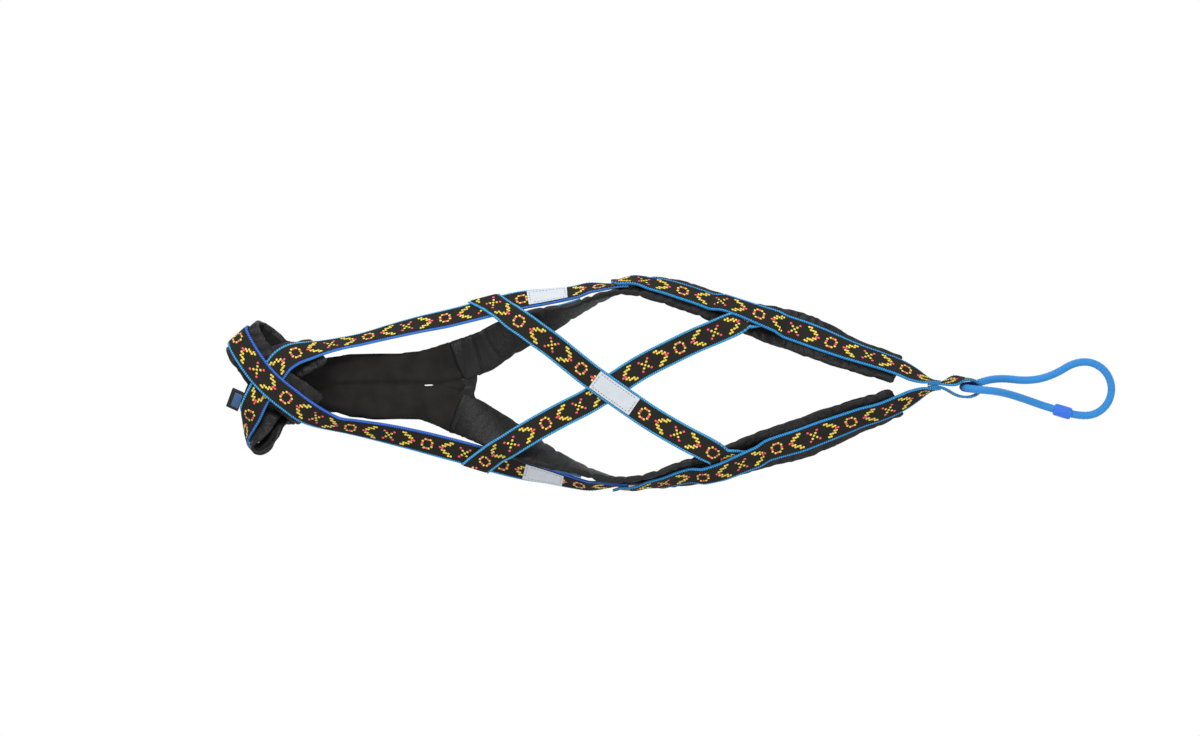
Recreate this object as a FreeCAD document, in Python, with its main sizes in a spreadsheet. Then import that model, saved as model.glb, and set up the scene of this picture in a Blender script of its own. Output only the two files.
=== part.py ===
import FreeCAD, Part
import math
import os
import Sketcher
from FreeCAD import Placement, Rotation, Vector

# Pulling harness for a sled dog, laid flat on its belly: +X towards the tail, +Y the dog's right,
# +Z up, millimetres.  Every strap is a band: a route of hand-chosen stations, and one loft for
# each of its layers (webbing, patterned ribbon, pad shell, foam, lining).

doc = FreeCAD.newDocument("pulling_harness")
sheet = doc.addObject("Spreadsheet::Sheet", "sizes")

SIZES = [
    ("webbing_width", 25, "nylon webbing, width"),
    ("webbing_thickness", 1.6, "nylon webbing, thickness"),
    ("ribbon_width", 20.5, "woven ribbon sewn on the webbing, width"),
    ("ribbon_thickness", 0.8, "woven ribbon, thickness"),
    ("layer_gap", 0.15, "gap between layers that are sewn together"),
    ("pad_width", 42, "padding under the webbing, width"),
    ("pad_thickness", 7, "padding, thickness"),
    ("cover_thickness", 0.9, "nylon shell and fleece lining of a pad"),
    ("foam_gap", 0.1, "gap round the foam inside its cover"),
    ("pad_joint", 0.6, "gap between two pads that meet end to end"),
    ("reflector_width", 20, "reflective patch, width"),
    ("reflector_thickness", 0.6, "reflective patch, thickness"),
    ("back_reflector_length", 49, "patch on the crossing of the back straps"),
    ("side_reflector_length", 40, "patch on each shoulder strap"),
    ("gusset_thickness", 2, "fleece gusset between the two leg pads"),
    ("eye_clear_height", 9.3, "height of the tail eye's lower edge over the ground"),
    ("rope_diameter", 8, "braided tail rope"),
    ("rope_clearance", 0.45, "gap between the rope and the edge of the tail eye"),
    ("splice_diameter", 12.5, "whipping over the rope's splice"),
    ("splice_length", 18, "whipping, length"),
    ("tab_from_crossing", 28, "label tab, from the crossing on the withers to its middle"),
    ("tab_length", 21, "label tab, along the strap"),
    ("tab_reach", 13, "label tab, out from the strap"),
    ("tab_thickness", 1.8, "label tab, folded in two"),
    ("tab_gap", 0.35, "gap between the tab and the edge of the strap"),
    ("tab_panel_length", 15, "woven panel on the tab, along the strap"),
    ("tab_panel_reach", 8, "woven panel on the tab, across"),
    ("tab_panel_thickness", 0.4, "woven panel on the tab, thickness"),
    ("section_step", 24, "most distance between the sections of a band"),
    ("section_turn", 22, "most turn between the sections of a band, degrees"),
]
for row, (alias, value, note) in enumerate(SIZES, start=1):
    sheet.set(f"A{row}", note)
    sheet.set(f"B{row}", str(value))
    sheet.setAlias(f"B{row}", alias)
doc.recompute()


def size(alias):
    return float(getattr(sheet, alias))


GAP = size("layer_gap")
WEBBING = size("webbing_thickness")
RIBBON = size("ribbon_thickness")
PAD = size("pad_thickness")
COVER = size("cover_thickness")
HALF_WEBBING = size("webbing_width") / 2
HALF_RIBBON = size("ribbon_width") / 2
HALF_PAD = size("pad_width") / 2
WEBBING_MIDDLE = GAP + WEBBING / 2            # heights over the pad's outer face
RIBBON_MIDDLE = GAP + WEBBING + GAP + RIBBON / 2
PATCH_MIDDLE = GAP + WEBBING + GAP + RIBBON + GAP + size("reflector_thickness") / 2
STACK = GAP + WEBBING + GAP + RIBBON          # a strap with its ribbon
LAYER = STACK + GAP                           # height at which the next layer lies
PANEL_GAP = 0.05                              # between the label tab and its panel

RIGHT, LEFT = 1, -1
UP = Vector(0, 0, 1)


# ---------------------------------------------------------------- routes

def unit(vector):
    return vector * (1 / vector.Length)


def looking(compass, elevation):
    """Direction from a compass angle and an elevation, in degrees."""
    flat = math.cos(math.radians(elevation))
    return Vector(flat * math.cos(math.radians(compass)), flat * math.sin(math.radians(compass)),
                  math.sin(math.radians(elevation)))


def lying(points, side, padded=True):
    """Stations (x, y, bank) of a band whose lower edge rests on the ground.

    bank 0: outer face up.  90: on edge, outer face away from the middle.  180: outer face down.
    """
    corners = [(HALF_WEBBING, GAP), (HALF_RIBBON, STACK)]
    if padded:
        corners += [(HALF_PAD, 0), (HALF_PAD, -PAD)]
    stations = []
    for i, (x, y, bank) in enumerate(points):
        before, after = points[max(i - 1, 0)], points[min(i + 1, len(points) - 1)]
        heading = math.degrees(math.atan2(after[1] - before[1], after[0] - before[0]))
        lean, drop = math.sin(math.radians(bank)), math.cos(math.radians(bank))
        height = max(half * lean - depth * drop for half, depth in corners)
        stations.append((x, y, height, heading + side * 90, 90 - bank))
    return stations


class Route:
    """A smooth line through stations (x, y, z, compass, elevation) of the outer face."""

    def __init__(self, stations):
        self.points = [Vector(*station[:3]) for station in stations]
        self.normals = [looking(station[3], station[4]) for station in stations]
        self.knots = [0.0]
        for a, b in zip(self.points, self.points[1:]):
            self.knots.append(self.knots[-1] + (b - a).Length)
        self.length = self.knots[-1]

    def tangents(self, values):
        slopes = [(b - a) * (1 / (kb - ka)) for a, b, ka, kb
                  in zip(values, values[1:], self.knots, self.knots[1:])]
        result = [slopes[0]]
        for i in range(1, len(values) - 1):
            left, right = self.knots[i] - self.knots[i - 1], self.knots[i + 1] - self.knots[i]
            result.append((slopes[i - 1] * right + slopes[i] * left) * (1 / (left + right)))
        result.append(slopes[-1])
        return result

    def span(self, length):
        i = 0
        while i < len(self.knots) - 2 and self.knots[i + 1] < length:
            i += 1
        return i, (length - self.knots[i]) / (self.knots[i + 1] - self.knots[i])

    def curve(self, values, length):
        """Cubic Hermite value at a length along the route."""
        i, t = self.span(length)
        gap = self.knots[i + 1] - self.knots[i]
        slopes = self.tangents(values)
        a, b, da, db = values[i], values[i + 1], slopes[i] * gap, slopes[i + 1] * gap
        return (a * (2 * t**3 - 3 * t**2 + 1) + da * (t**3 - 2 * t**2 + t)
                + b * (3 * t**2 - 2 * t**3) + db * (t**3 - t**2))

    def frame(self, length):
        """Place, direction, across and outward at a length along the route."""
        step = 0.25
        place = self.curve(self.points, length)
        ahead = unit(self.curve(self.points, min(length + step, self.length))
                     - self.curve(self.points, max(length - step, 0)))
        normal = self.curve(self.normals, length)
        normal = unit(normal - ahead * normal.dot(ahead))
        return place, ahead, unit(normal.cross(ahead)), normal

    def at_x(self, x, start=0.0):
        """Length at which the route passes a place on the X axis, looking on from start."""
        steps = 400
        marks = [start + (self.length - start) * i / steps for i in range(steps + 1)]
        return min(marks, key=lambda mark: abs(self.curve(self.points, mark).x - x))


def moved(frame, across=0.0, outward=0.0):
    place, ahead, side, normal = frame
    return place + side * across + normal * outward, ahead, side, normal


def station_on(route, length, across, outward):
    """A station of another route that lies on this one's outer face."""
    place, _, _, normal = moved(route.frame(length), across, outward)
    compass = math.degrees(math.atan2(normal.y, normal.x))
    return place.x, place.y, place.z, compass, math.degrees(math.asin(normal.z))


def placement(frame):
    place, ahead, side, normal = frame
    return Placement(place, Rotation(side, normal, ahead, "XYZ"))


def eased(length, marks):
    """Height between (length, height) marks, with smooth ends to each ramp."""
    if length <= marks[0][0]:
        return marks[0][1]
    for (a, low), (b, high) in zip(marks, marks[1:]):
        if length <= b:
            t = (length - a) / (b - a)
            return low + (high - low) * t * t * (3 - 2 * t)
    return marks[-1][1]


def section_lengths(route, start, end):
    """Places of the sections: close together where the band bends or twists."""
    steps = max(20, round(end - start))
    marks = [start + (end - start) * i / steps for i in range(steps + 1)]
    frames = [route.frame(mark) for mark in marks]
    costs = [0.0]
    for mark, after, frame, ahead in zip(marks, marks[1:], frames, frames[1:]):
        turn = math.degrees(frame[1].getAngle(ahead[1]) + frame[3].getAngle(ahead[3]))
        costs.append(costs[-1] + (after - mark) / size("section_step")
                     + turn / size("section_turn"))
    count = max(3, math.ceil(costs[-1]))
    lengths, i = [], 0
    for k in range(count + 1):
        while i < steps - 1 and costs[i + 1] < costs[-1] * k / count:
            i += 1
        part = (costs[-1] * k / count - costs[i]) / (costs[i + 1] - costs[i])
        lengths.append(marks[i] + part * (marks[i + 1] - marks[i]))
    return lengths


def frames_along(route, start, end, outward, raised=None, aside=None):
    """Frames of a band's sections; raised and aside are (length, distance) marks."""
    frames = []
    for length in section_lengths(route, start, end):
        lift = eased(length, raised) if raised else 0.0
        shift = eased(length, aside) if aside else 0.0
        frames.append(moved(route.frame(length), shift, outward + lift))
    return frames


# ---------------------------------------------------------------- bodies

def line(a, b):
    return Part.LineSegment(Vector(a[0], a[1], 0), Vector(b[0], b[1], 0))


def outline_sketch(body, name, offset, points, closed=True):
    """Sketch through points, attached to the body's own XY plane."""
    plane = [f for f in body.Origin.OriginFeatures if f.Role == "XY_Plane"][0]
    sketch = body.newObject("Sketcher::SketchObject", name)
    sketch.AttachmentSupport = [(plane, "")]
    sketch.MapMode = "FlatFace"
    sketch.AttachmentOffset = offset
    count = len(points)
    sides = count if closed else count - 1
    sketch.addGeometry([line(points[i], points[(i + 1) % count]) for i in range(sides)], False)
    sketch.addConstraint([Sketcher.Constraint("Coincident", i, 2, (i + 1) % sides, 1)
                          for i in range(sides if closed else sides - 1)])
    return sketch


def bound(sketch, kind, first, second, value, alias):
    """A distance between two sketch points, bound to a cell of the sheet."""
    index = sketch.addConstraint(Sketcher.Constraint(kind, *first, *second, value))
    sketch.setExpression(f"Constraints[{index}]", alias)


def rectangle(body, name, frame, width, thickness):
    """Section of a flat layer, centred on the frame."""
    half, deep = size(width) / 2, size(thickness) / 2
    sketch = outline_sketch(body, name, placement(frame),
                            [(-half, -deep), (half, -deep), (half, deep), (-half, deep)])
    sketch.addConstraint([Sketcher.Constraint("Horizontal", 0), Sketcher.Constraint("Vertical", 1),
                          Sketcher.Constraint("Horizontal", 2), Sketcher.Constraint("Vertical", 3),
                          Sketcher.Constraint("Symmetric", 0, 1, 1, 2, -1, 1)])
    bound(sketch, "DistanceX", (0, 1), (0, 2), size(width), f"sizes.{width}")
    bound(sketch, "DistanceY", (1, 1), (1, 2), size(thickness), f"sizes.{thickness}")
    return sketch


def new_body(label):
    body = doc.addObject("PartDesign::Body", label)
    body.Label = label
    return body


def loft(label, frames, section):
    """Body whose layer runs through one section sketch at each frame."""
    body = new_body(label)
    sketches = [section(body, f"{label}_section_{i}", frame) for i, frame in enumerate(frames)]
    solid = body.newObject("PartDesign::AdditiveLoft", f"{label}_loft")
    solid.Profile = sketches[0]
    solid.Sections = sketches[1:]
    solid.Ruled = True
    return body


def flat_layer(label, frames, width, thickness):
    return loft(label, frames,
                lambda body, name, frame: rectangle(body, name, frame, width, thickness))


def strap(name, route, start, end, raised=None):
    """Webbing with its ribbon on the outer face."""
    flat_layer(f"{name}_webbing", frames_along(route, start, end, WEBBING_MIDDLE, raised),
               "webbing_width", "webbing_thickness")
    flat_layer(f"{name}_ribbon", frames_along(route, start, end, RIBBON_MIDDLE, raised),
               "ribbon_width", "ribbon_thickness")


def shell_section(body, name, frame):
    """U-shaped section of a pad's nylon shell, open towards the inner side."""
    half, deep, wall = HALF_PAD, PAD, COVER
    points = [(-half, 0), (half, 0), (half, -deep), (half - wall, -deep),
              (half - wall, -wall), (wall - half, -wall), (wall - half, -deep), (-half, -deep)]
    sketch = outline_sketch(body, name, placement(frame), points)
    level = [Sketcher.Constraint("Horizontal", i) for i in (0, 2, 4, 6)]
    upright = [Sketcher.Constraint("Vertical", i) for i in (1, 3, 5, 7)]
    sketch.addConstraint(level + upright)
    sketch.addConstraint(Sketcher.Constraint("Symmetric", 0, 1, 0, 2, -1, 1))
    bound(sketch, "DistanceX", (0, 1), (0, 2), 2 * half, "sizes.pad_width")
    bound(sketch, "DistanceY", (1, 2), (1, 1), deep, "sizes.pad_thickness")
    bound(sketch, "DistanceY", (7, 1), (7, 2), deep, "sizes.pad_thickness")
    bound(sketch, "DistanceX", (2, 2), (2, 1), wall, "sizes.cover_thickness")
    bound(sketch, "DistanceX", (6, 2), (6, 1), wall, "sizes.cover_thickness")
    bound(sketch, "DistanceY", (4, 1), (0, 2), wall, "sizes.cover_thickness")
    return sketch


def core_section(inset, thickness):
    """Rectangle inside the shell: the foam, or the lining that closes it."""
    def section(body, name, frame):
        half, deep = HALF_PAD - COVER - size("foam_gap"), thickness / 2
        sketch = outline_sketch(body, name, placement(moved(frame, 0, -inset - deep)),
                                [(-half, -deep), (half, -deep), (half, deep), (-half, deep)])
        sketch.addConstraint([Sketcher.Constraint("Horizontal", 0),
                              Sketcher.Constraint("Vertical", 1),
                              Sketcher.Constraint("Horizontal", 2),
                              Sketcher.Constraint("Vertical", 3),
                              Sketcher.Constraint("Symmetric", 0, 1, 1, 2, -1, 1)])
        bound(sketch, "DistanceX", (0, 1), (0, 2), 2 * half,
              "sizes.pad_width - 2 * sizes.cover_thickness - 2 * sizes.foam_gap")
        bound(sketch, "DistanceY", (1, 1), (1, 2), thickness,
              "sizes.cover_thickness" if thickness == COVER else
              "sizes.pad_thickness - 2 * sizes.cover_thickness - 2 * sizes.foam_gap")
        return sketch
    return section


def pad(name, route, start, end, dropped=None, aside=None):
    """Padding under a strap: U-shaped shell, foam core and fleece lining."""
    frames = frames_along(route, start, end, 0.0, dropped, aside)
    foam = PAD - 2 * COVER - 2 * size("foam_gap")
    loft(f"{name}_pad_shell", frames, shell_section)
    loft(f"{name}_pad_foam", frames, core_section(COVER + size("foam_gap"), foam))
    loft(f"{name}_pad_lining", frames, core_section(PAD - COVER, COVER))


# ---------------------------------------------------------------- stations

# leg bands: from the front of the chest, side by side, then apart to the ribs, turning over
right_leg = Route(lying([
    (-317, 12.5, 180), (-304, 8.5, 180), (-286, 7.6, 180), (-258, 7.7, 180), (-228, 7.8, 180),
    (-201, 8.5, 180), (-181, 10.5, 180), (-163, 15, 180), (-147, 21, 180), (-126, 30, 166),
    (-106, 42, 153), (-86, 53, 142), (-66, 62.5, 129), (-46, 70.5, 114), (-31, 76.5, 104),
    (-16, 83.5, 98), (-6, 87.5, 95), (1, 90, 92)], RIGHT))
left_leg = Route(lying([
    (-315.5, -19, 180), (-303, -17.8, 180), (-286, -17.9, 180), (-258, -17.9, 180),
    (-228, -18, 180), (-201, -18.6, 180), (-181, -20.5, 180), (-163, -25, 180),
    (-147, -30.8, 180), (-126, -42, 162), (-106, -54, 148), (-86, -65.2, 136),
    (-66, -75.5, 122), (-46, -84, 108), (-31, -89.2, 100), (-16, -94.4, 95),
    (-6, -97.4, 93), (1, -99.3, 91)], LEFT))

# side bands: from the ribs back to the tail, the bare ends on edge and back to back
right_side = Route(lying([
    (2, 90.5, 91), (9, 93.8, 85), (19, 96.3, 77), (34, 97.8, 66), (54, 95, 56), (74, 89.5, 51),
    (94, 83, 50), (114, 75.5, 47), (134, 68.8, 45), (154, 62, 37), (174, 56.2, 24),
    (194, 49.8, 18), (214, 42.2, 22), (234, 34, 34), (254, 26.7, 43), (274, 20.2, 47),
    (294, 12.8, 50)], RIGHT)
    + [(306, 6.6, 20.5, 69, 34), (317, 1.6, 21.3, 68, 18), (325, -0.4, 21.7, 80, 4),
       (333, -1.1, 21.8, 90, 0)])
left_side = Route(lying([
    (2, -99.6, 91), (9, -100.8, 88), (19, -101.5, 85), (34, -101.5, 79), (54, -99.3, 68),
    (74, -94.2, 58), (94, -89.8, 51), (114, -85, 43), (134, -77.2, 38), (154, -69.8, 32),
    (174, -63.5, 25), (194, -57.7, 19), (214, -50, 22), (234, -42.4, 30), (254, -34.7, 38),
    (274, -28.6, 43), (294, -19.8, 47)], LEFT)
    + [(306, -13.3, 20.5, -67, 34), (317, -8, 21.3, -68, 18), (325, -6.1, 21.7, -80, 4),
       (333, -5.4, 21.8, -90, 0)])

# shoulder bands: from the ribs forward, up to the withers, over and round the neck to the chest
def shoulder_end(side_band):
    """Last stations of a shoulder strap, between the side pad and its webbing."""
    return [station_on(side_band, side_band.at_x(x), across, 2 * GAP)
            for x, across in ((22, 0), (11, -0.5))]


left_shoulder = Route(
    shoulder_end(left_side)
    + [(-5, -101.5, 17.5, -90, 16), (-16, -102.2, 14.5, -90, 22), (-31, -99.5, 12.5, -90, 27),
       (-56, -93, 11.5, -90, 37), (-81, -87.5, 12.5, -90, 49), (-106, -80.5, 12.5, -90, 59),
       (-131, -73, 11.5, -90, 64), (-161, -65, 7.5, -90, 63), (-191, -57.3, 7, -90, 57),
       (-221, -50.3, 8.5, -90, 49), (-251, -44.2, 11, -90, 38), (-271, -40.5, 15, -85, 33),
       (-288, -34.5, 25.5, -80, 50), (-302, -27, 37, -70, 74), (-314, -18, 45, -60, 84),
       (-325, -9.5, 46.4, 0, 90), (-336, 0.5, 45.8, 0, 90), (-345, 10.5, 45.2, 135, 88),
       (-353, 21.5, 43.3, 133, 80)]
    + [(-357.9 - 12.3 * math.sin(math.radians(t)) + 2.84 * math.radians(t),
        28.5 + 13.8 * math.sin(math.radians(t)) + 2.52 * math.radians(t),
        21.2 + 18.5 * math.cos(math.radians(t)), 131.6, 90 - t) for t in range(15, 180, 30)]
    + [(-343, 32.3, 2.7, 0, -90), (-333, 24.5, 2.7, 0, -90), (-319.5, 14.4, 2.7, 0, -90)])
right_shoulder = Route(
    shoulder_end(right_side)
    + [(-5, 93, 17.5, 90, 18), (-16, 92.5, 14.5, 90, 26), (-31, 88.5, 12.5, 90, 30),
       (-56, 84.5, 11.5, 90, 37), (-86, 80.5, 12.5, 90, 46), (-111, 74.5, 12.5, 90, 47),
       (-136, 68, 11, 90, 46), (-156, 63, 8.8, 90, 45), (-186, 56.5, 9, 90, 40),
       (-216, 49, 10, 90, 33), (-246, 41, 11.5, 90, 26), (-266, 37, 15.5, 90, 26),
       (-283, 33.5, 21.8, 85, 31), (-297, 30.5, 28.5, 80, 44), (-312, 26.5, 37.5, 85, 66),
       (-322, 20, 41.8, 100, 82), (-329, 11, 42.3, 150, 88), (-338, 0, 42.3, 180, 88),
       (-344, -11, 42.2, 180, 90), (-349, -21, 41.4, 180, 86), (-352.5, -30, 37.5, 180, 74),
       (-355, -39, 29, 178, 46), (-356.4, -48, 22.5, 180, 22), (-356.6, -56, 19.5, 184, 8),
       (-353.6, -64, 18, 218, 1), (-346.5, -67.6, 17.5, 270, -2), (-339.5, -64, 17.5, 322, -8),
       (-336.6, -56, 17, 350, -22), (-335.5, -48, 13.8, 352, -44), (-333, -40, 8.8, 345, -64),
       (-329.5, -33, 5.6, 330, -79), (-324, -26.5, 3.6, 315, -87), (-317.5, -20.5, 2.7, 0, -90)])


# back straps: from a shoulder strap over its leg pad, across the back, under the other side strap
def on_strap(route, places):
    """Stations on another strap's outer face: length, place across it, height clear of it."""
    stations = []
    for x, across, clear in places:
        place_x, place_y, height, compass, elevation = station_on(
            route, route.at_x(x), across, LAYER)
        stations.append((place_x, place_y, height + clear, compass, elevation))
    return stations


def under_webbing(side_band, places):
    """Stations between a side pad and its webbing."""
    return [station_on(side_band, side_band.at_x(x), across, 4 * GAP) for x, across in places]


back_over = Route(
    on_strap(right_shoulder, ((-129, -24, 0), (-119, -12, 0), (-113, -4, 0), (-107.5, 4, 1),
                              (-102, 12, 4)))
    + [(-91, 63.2, 34.5, 90, 84), (-80, 55.8, 39.5, 90, 86), (-68, 47, 40, 0, 90),
       (-54, 37, 35.5, 0, 90), (-36, 22.5, 28, 0, 90), (-16, 6.5, 23, 0, 90),
       (4, -8, 20.6, 0, 90), (24, -22, 21, 0, 90), (44, -35.5, 24, 0, 90), (64, -47.5, 29, 0, 90),
       (82, -57.5, 35, 0, 90), (96, -64.5, 38.5, -90, 84), (107, -70, 38, -90, 68)]
    + under_webbing(left_side, ((117, 13), (128, 4), (138, -4))))
back_under = Route(
    on_strap(left_shoulder, ((-134.4, 24, 0), (-127, 12, 0), (-122, 4, 1), (-117, -4, 4),
                             (-112, -12, 9)))
    + [(-98, -63.6, 39.5, -90, 80), (-88, -57.4, 40.5, -90, 86), (-74, -49, 37.5, 0, 90),
       (-46, -33.5, 26, 0, 90),
       (-16, -18, 18.5, 0, 90), (6, -4, 16.4, 0, 90), (34, 14, 18, 0, 90),
       (64, 29.5, 23, 0, 90), (89, 41.5, 30, 0, 90), (108, 49.5, 36.5, 0, 90),
       (120, 54.5, 39, 90, 84), (129, 58, 38, 90, 68)]
    + under_webbing(right_side, ((138, -9), (147, -1), (155, 6))))

# tail eye: two tails between the ends of the side straps, and a loop that stands on edge
EYE_MIDDLE = size("eye_clear_height") + HALF_WEBBING
tail_eye = Route([(x, y, EYE_MIDDLE, compass, 0) for x, y, compass in (
    (321, -3.15, 90), (332, -3.15, 90), (340, -1.8, 104), (348, 0.4, 100), (357, 1.5, 92),
    (365.5, 0.4, 72), (370.4, -2.6, 38), (371.6, -6, 0), (370.4, -9.4, -38),
    (365.5, -12.4, -72), (357, -13.4, -92), (348, -11, -106), (340, -6.4, -112),
    (332, -3.35, -90), (321, -3.35, -90))])


# ---------------------------------------------------------------- the pieces

def build_straps():
    strap("right_leg", right_leg, right_leg.at_x(-307), right_leg.at_x(-24))
    strap("left_leg", left_leg, left_leg.at_x(-304), left_leg.at_x(-24))
    over = STACK + 4 * GAP
    for name, band, tuck in (("right_side", right_side, (118, 166)),
                             ("left_side", left_side, (98, 148))):
        marks = [(band.at_x(x), lift) for x, lift in (
            (8, over + 2.6), (14, over), (26, over), (44, 0),
            (tuck[0] - 16, 0), (tuck[0], over + 2), (tuck[1], over + 2), (tuck[1] + 16, 0))]
        strap(name, band, band.at_x(8), band.length, marks)
    strap("left_shoulder", left_shoulder, 0, left_shoulder.length)
    strap("right_shoulder", right_shoulder, 0, right_shoulder.length)
    strap("back_over", back_over, 0, back_over.length)
    strap("back_under", back_under, 0, back_under.length)
    for layer in ("webbing", "ribbon"):
        trim(f"back_over_{layer}", right_shoulder, right_shoulder.at_x(-119), -1)
        trim(f"back_under_{layer}", left_shoulder, left_shoulder.at_x(-127), 1)
    flat_layer("tail_eye_webbing", frames_along(tail_eye, 0, tail_eye.length, WEBBING_MIDDLE),
               "webbing_width", "webbing_thickness")
    flat_layer("tail_eye_ribbon",
               frames_along(tail_eye, 13.5, tail_eye.length - 13.5, RIBBON_MIDDLE),
               "ribbon_width", "ribbon_thickness")


def trim(label, route, length, edge):
    """Cuts a strap's end flush with the edge of the strap that it is sewn on."""
    place, ahead, side, normal = moved(route.frame(length), edge * HALF_WEBBING)
    body = doc.getObject(label)
    reach = 2 * size("webbing_width")
    sketch = outline_sketch(body, f"{label}_trim_outline",
                            Placement(place, Rotation(side * edge, ahead * edge, normal, "XYZ")),
                            [(0, -reach), (reach, -reach), (reach, reach), (0, reach)])
    for i in range(4):
        sketch.addConstraint(Sketcher.Constraint("Block", i))
    cut = body.newObject("PartDesign::Pocket", f"{label}_trim")
    cut.Profile = sketch
    cut.Type = "ThroughAll"
    cut.Midplane = True


def build_pads():
    joint = size("pad_joint")
    pad("right_leg", right_leg, right_leg.at_x(-147), right_leg.length)
    pad("left_leg", left_leg, left_leg.at_x(-147), left_leg.length)
    pad("right_side", right_side, joint, right_side.at_x(292))
    pad("left_side", left_side, joint, left_side.at_x(292))
    under = STACK + 8 * GAP
    crossing = crossing_length(left_shoulder)
    pad("right_neck", left_shoulder, left_shoulder.at_x(-293), left_shoulder.length,
        [(crossing - 44, 0), (crossing - 24, -under), (crossing + 20, -under), (crossing + 38, 0)])
    crossing = crossing_length(right_shoulder)
    start = right_shoulder.at_x(-284)
    under = PAD + 9 * GAP
    pad("left_neck", right_shoulder, start, right_shoulder.length,
        [(start, 0), (crossing - 30, -under), (crossing + 12, -under),
         (crossing + 24, -under - 2.2), (crossing + 36, -4.5), (crossing + 52, 0)],
        [(crossing - 6, 0), (crossing + 10, 6.5), (crossing + 24, 6.5), (crossing + 40, 3.5),
         (crossing + 60, 4.5), (right_shoulder.length - 50, 4.5), (right_shoulder.length - 10, 0)])


def reflector(label, route, middle, length):
    frames = frames_along(route, middle - length / 2, middle + length / 2, PATCH_MIDDLE)
    flat_layer(label, frames, "reflector_width", "reflector_thickness")


def build_reflectors():
    reflector("back_reflector", back_over, back_over.at_x(8), size("back_reflector_length"))
    reflector("right_reflector", right_shoulder, right_shoulder.at_x(-58),
              size("side_reflector_length"))
    reflector("left_reflector", left_shoulder, left_shoulder.at_x(-62),
              size("side_reflector_length"))


def flat_piece(label, outline, bottom, thickness_alias):
    """Flat piece cut to an outline, its underside at a height."""
    body = new_body(label)
    sketch = outline_sketch(body, f"{label}_outline", Placement(Vector(0, 0, bottom), Rotation()),
                            outline)
    for i in range(len(outline)):
        sketch.addConstraint(Sketcher.Constraint("Block", i))
    plate = body.newObject("PartDesign::Pad", f"{label}_plate")
    plate.Profile = sketch
    plate.setExpression("Length", thickness_alias)
    return body


def inset(outline, distance):
    """The same outline, a distance further in; corners listed clockwise."""
    result = []
    for i, corner in enumerate(outline):
        before, after = outline[i - 1], outline[(i + 1) % len(outline)]
        a = unit(Vector(corner[0] - before[0], corner[1] - before[1], 0))
        b = unit(Vector(after[0] - corner[0], after[1] - corner[1], 0))
        inward_a, inward_b = Vector(a.y, -a.x, 0), Vector(b.y, -b.x, 0)
        reach = (inward_a + inward_b) * (distance / (1 + inward_a.dot(inward_b)))
        result.append((corner[0] + reach.x, corner[1] + reach.y))
    return result


CHEST = [(-329.6, -2.8), (-310, 23.5), (-296, 23), (-276, 24.5), (-256, 28), (-231, 28.7),
         (-206, 28.8), (-186, 31), (-171, 35.5), (-155.9, 39.8), (-140.2, 1.2), (-139.2, -11.2),
         (-156.8, -49.3), (-171, -43), (-186, -37), (-206, -36.6), (-231, -37.3), (-256, -34.5),
         (-276, -28), (-290, -26), (-305, -33)]


def inner_edge(leg, x):
    """Where a leg pad's edge that faces the other leg passes x."""
    corners = [moved(leg.frame(mark), across, -deep)[0]
               for mark in range(int(leg.at_x(x - HALF_PAD)), int(leg.at_x(x + HALF_PAD)))
               for across in (-HALF_PAD, HALF_PAD) for deep in (0, PAD)]
    return min((corner.y for corner in corners if abs(corner.x - x) < 1), key=abs)


GUSSET_END, GUSSET_CLEAR, GUSSET_RISE = -129, 0.8, 2
GUSSET = [(-139.2, 0.6), (GUSSET_END, inner_edge(right_leg, GUSSET_END) - GUSSET_CLEAR),
          (GUSSET_END, inner_edge(left_leg, GUSSET_END) + GUSSET_CLEAR), (-138.3, -10.8)]


def build_chest():
    """Chest pad: a tray-shaped shell with foam and a fleece lining in it."""
    shell = flat_piece("chest_pad_shell", CHEST, LAYER, "sizes.pad_thickness")
    hollow = outline_sketch(shell, "chest_pad_hollow",
                            Placement(Vector(0, 0, LAYER + COVER), Rotation()),
                            inset(CHEST, COVER))
    for i in range(len(CHEST)):
        hollow.addConstraint(Sketcher.Constraint("Block", i))
    cut = shell.newObject("PartDesign::Pocket", "chest_pad_pocket")
    cut.Profile = hollow
    cut.Reversed = True
    cut.setExpression("Length", "sizes.pad_thickness")
    core = inset(CHEST, COVER + size("foam_gap"))
    flat_piece("chest_pad_foam", core, LAYER + COVER + size("foam_gap"),
               "sizes.pad_thickness - 2 * sizes.cover_thickness - 2 * sizes.foam_gap")
    flat_piece("chest_pad_lining", core, LAYER + PAD - COVER, "sizes.cover_thickness")
    flat_piece("chest_gusset", GUSSET, LAYER + GUSSET_RISE, "sizes.gusset_thickness")


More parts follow.
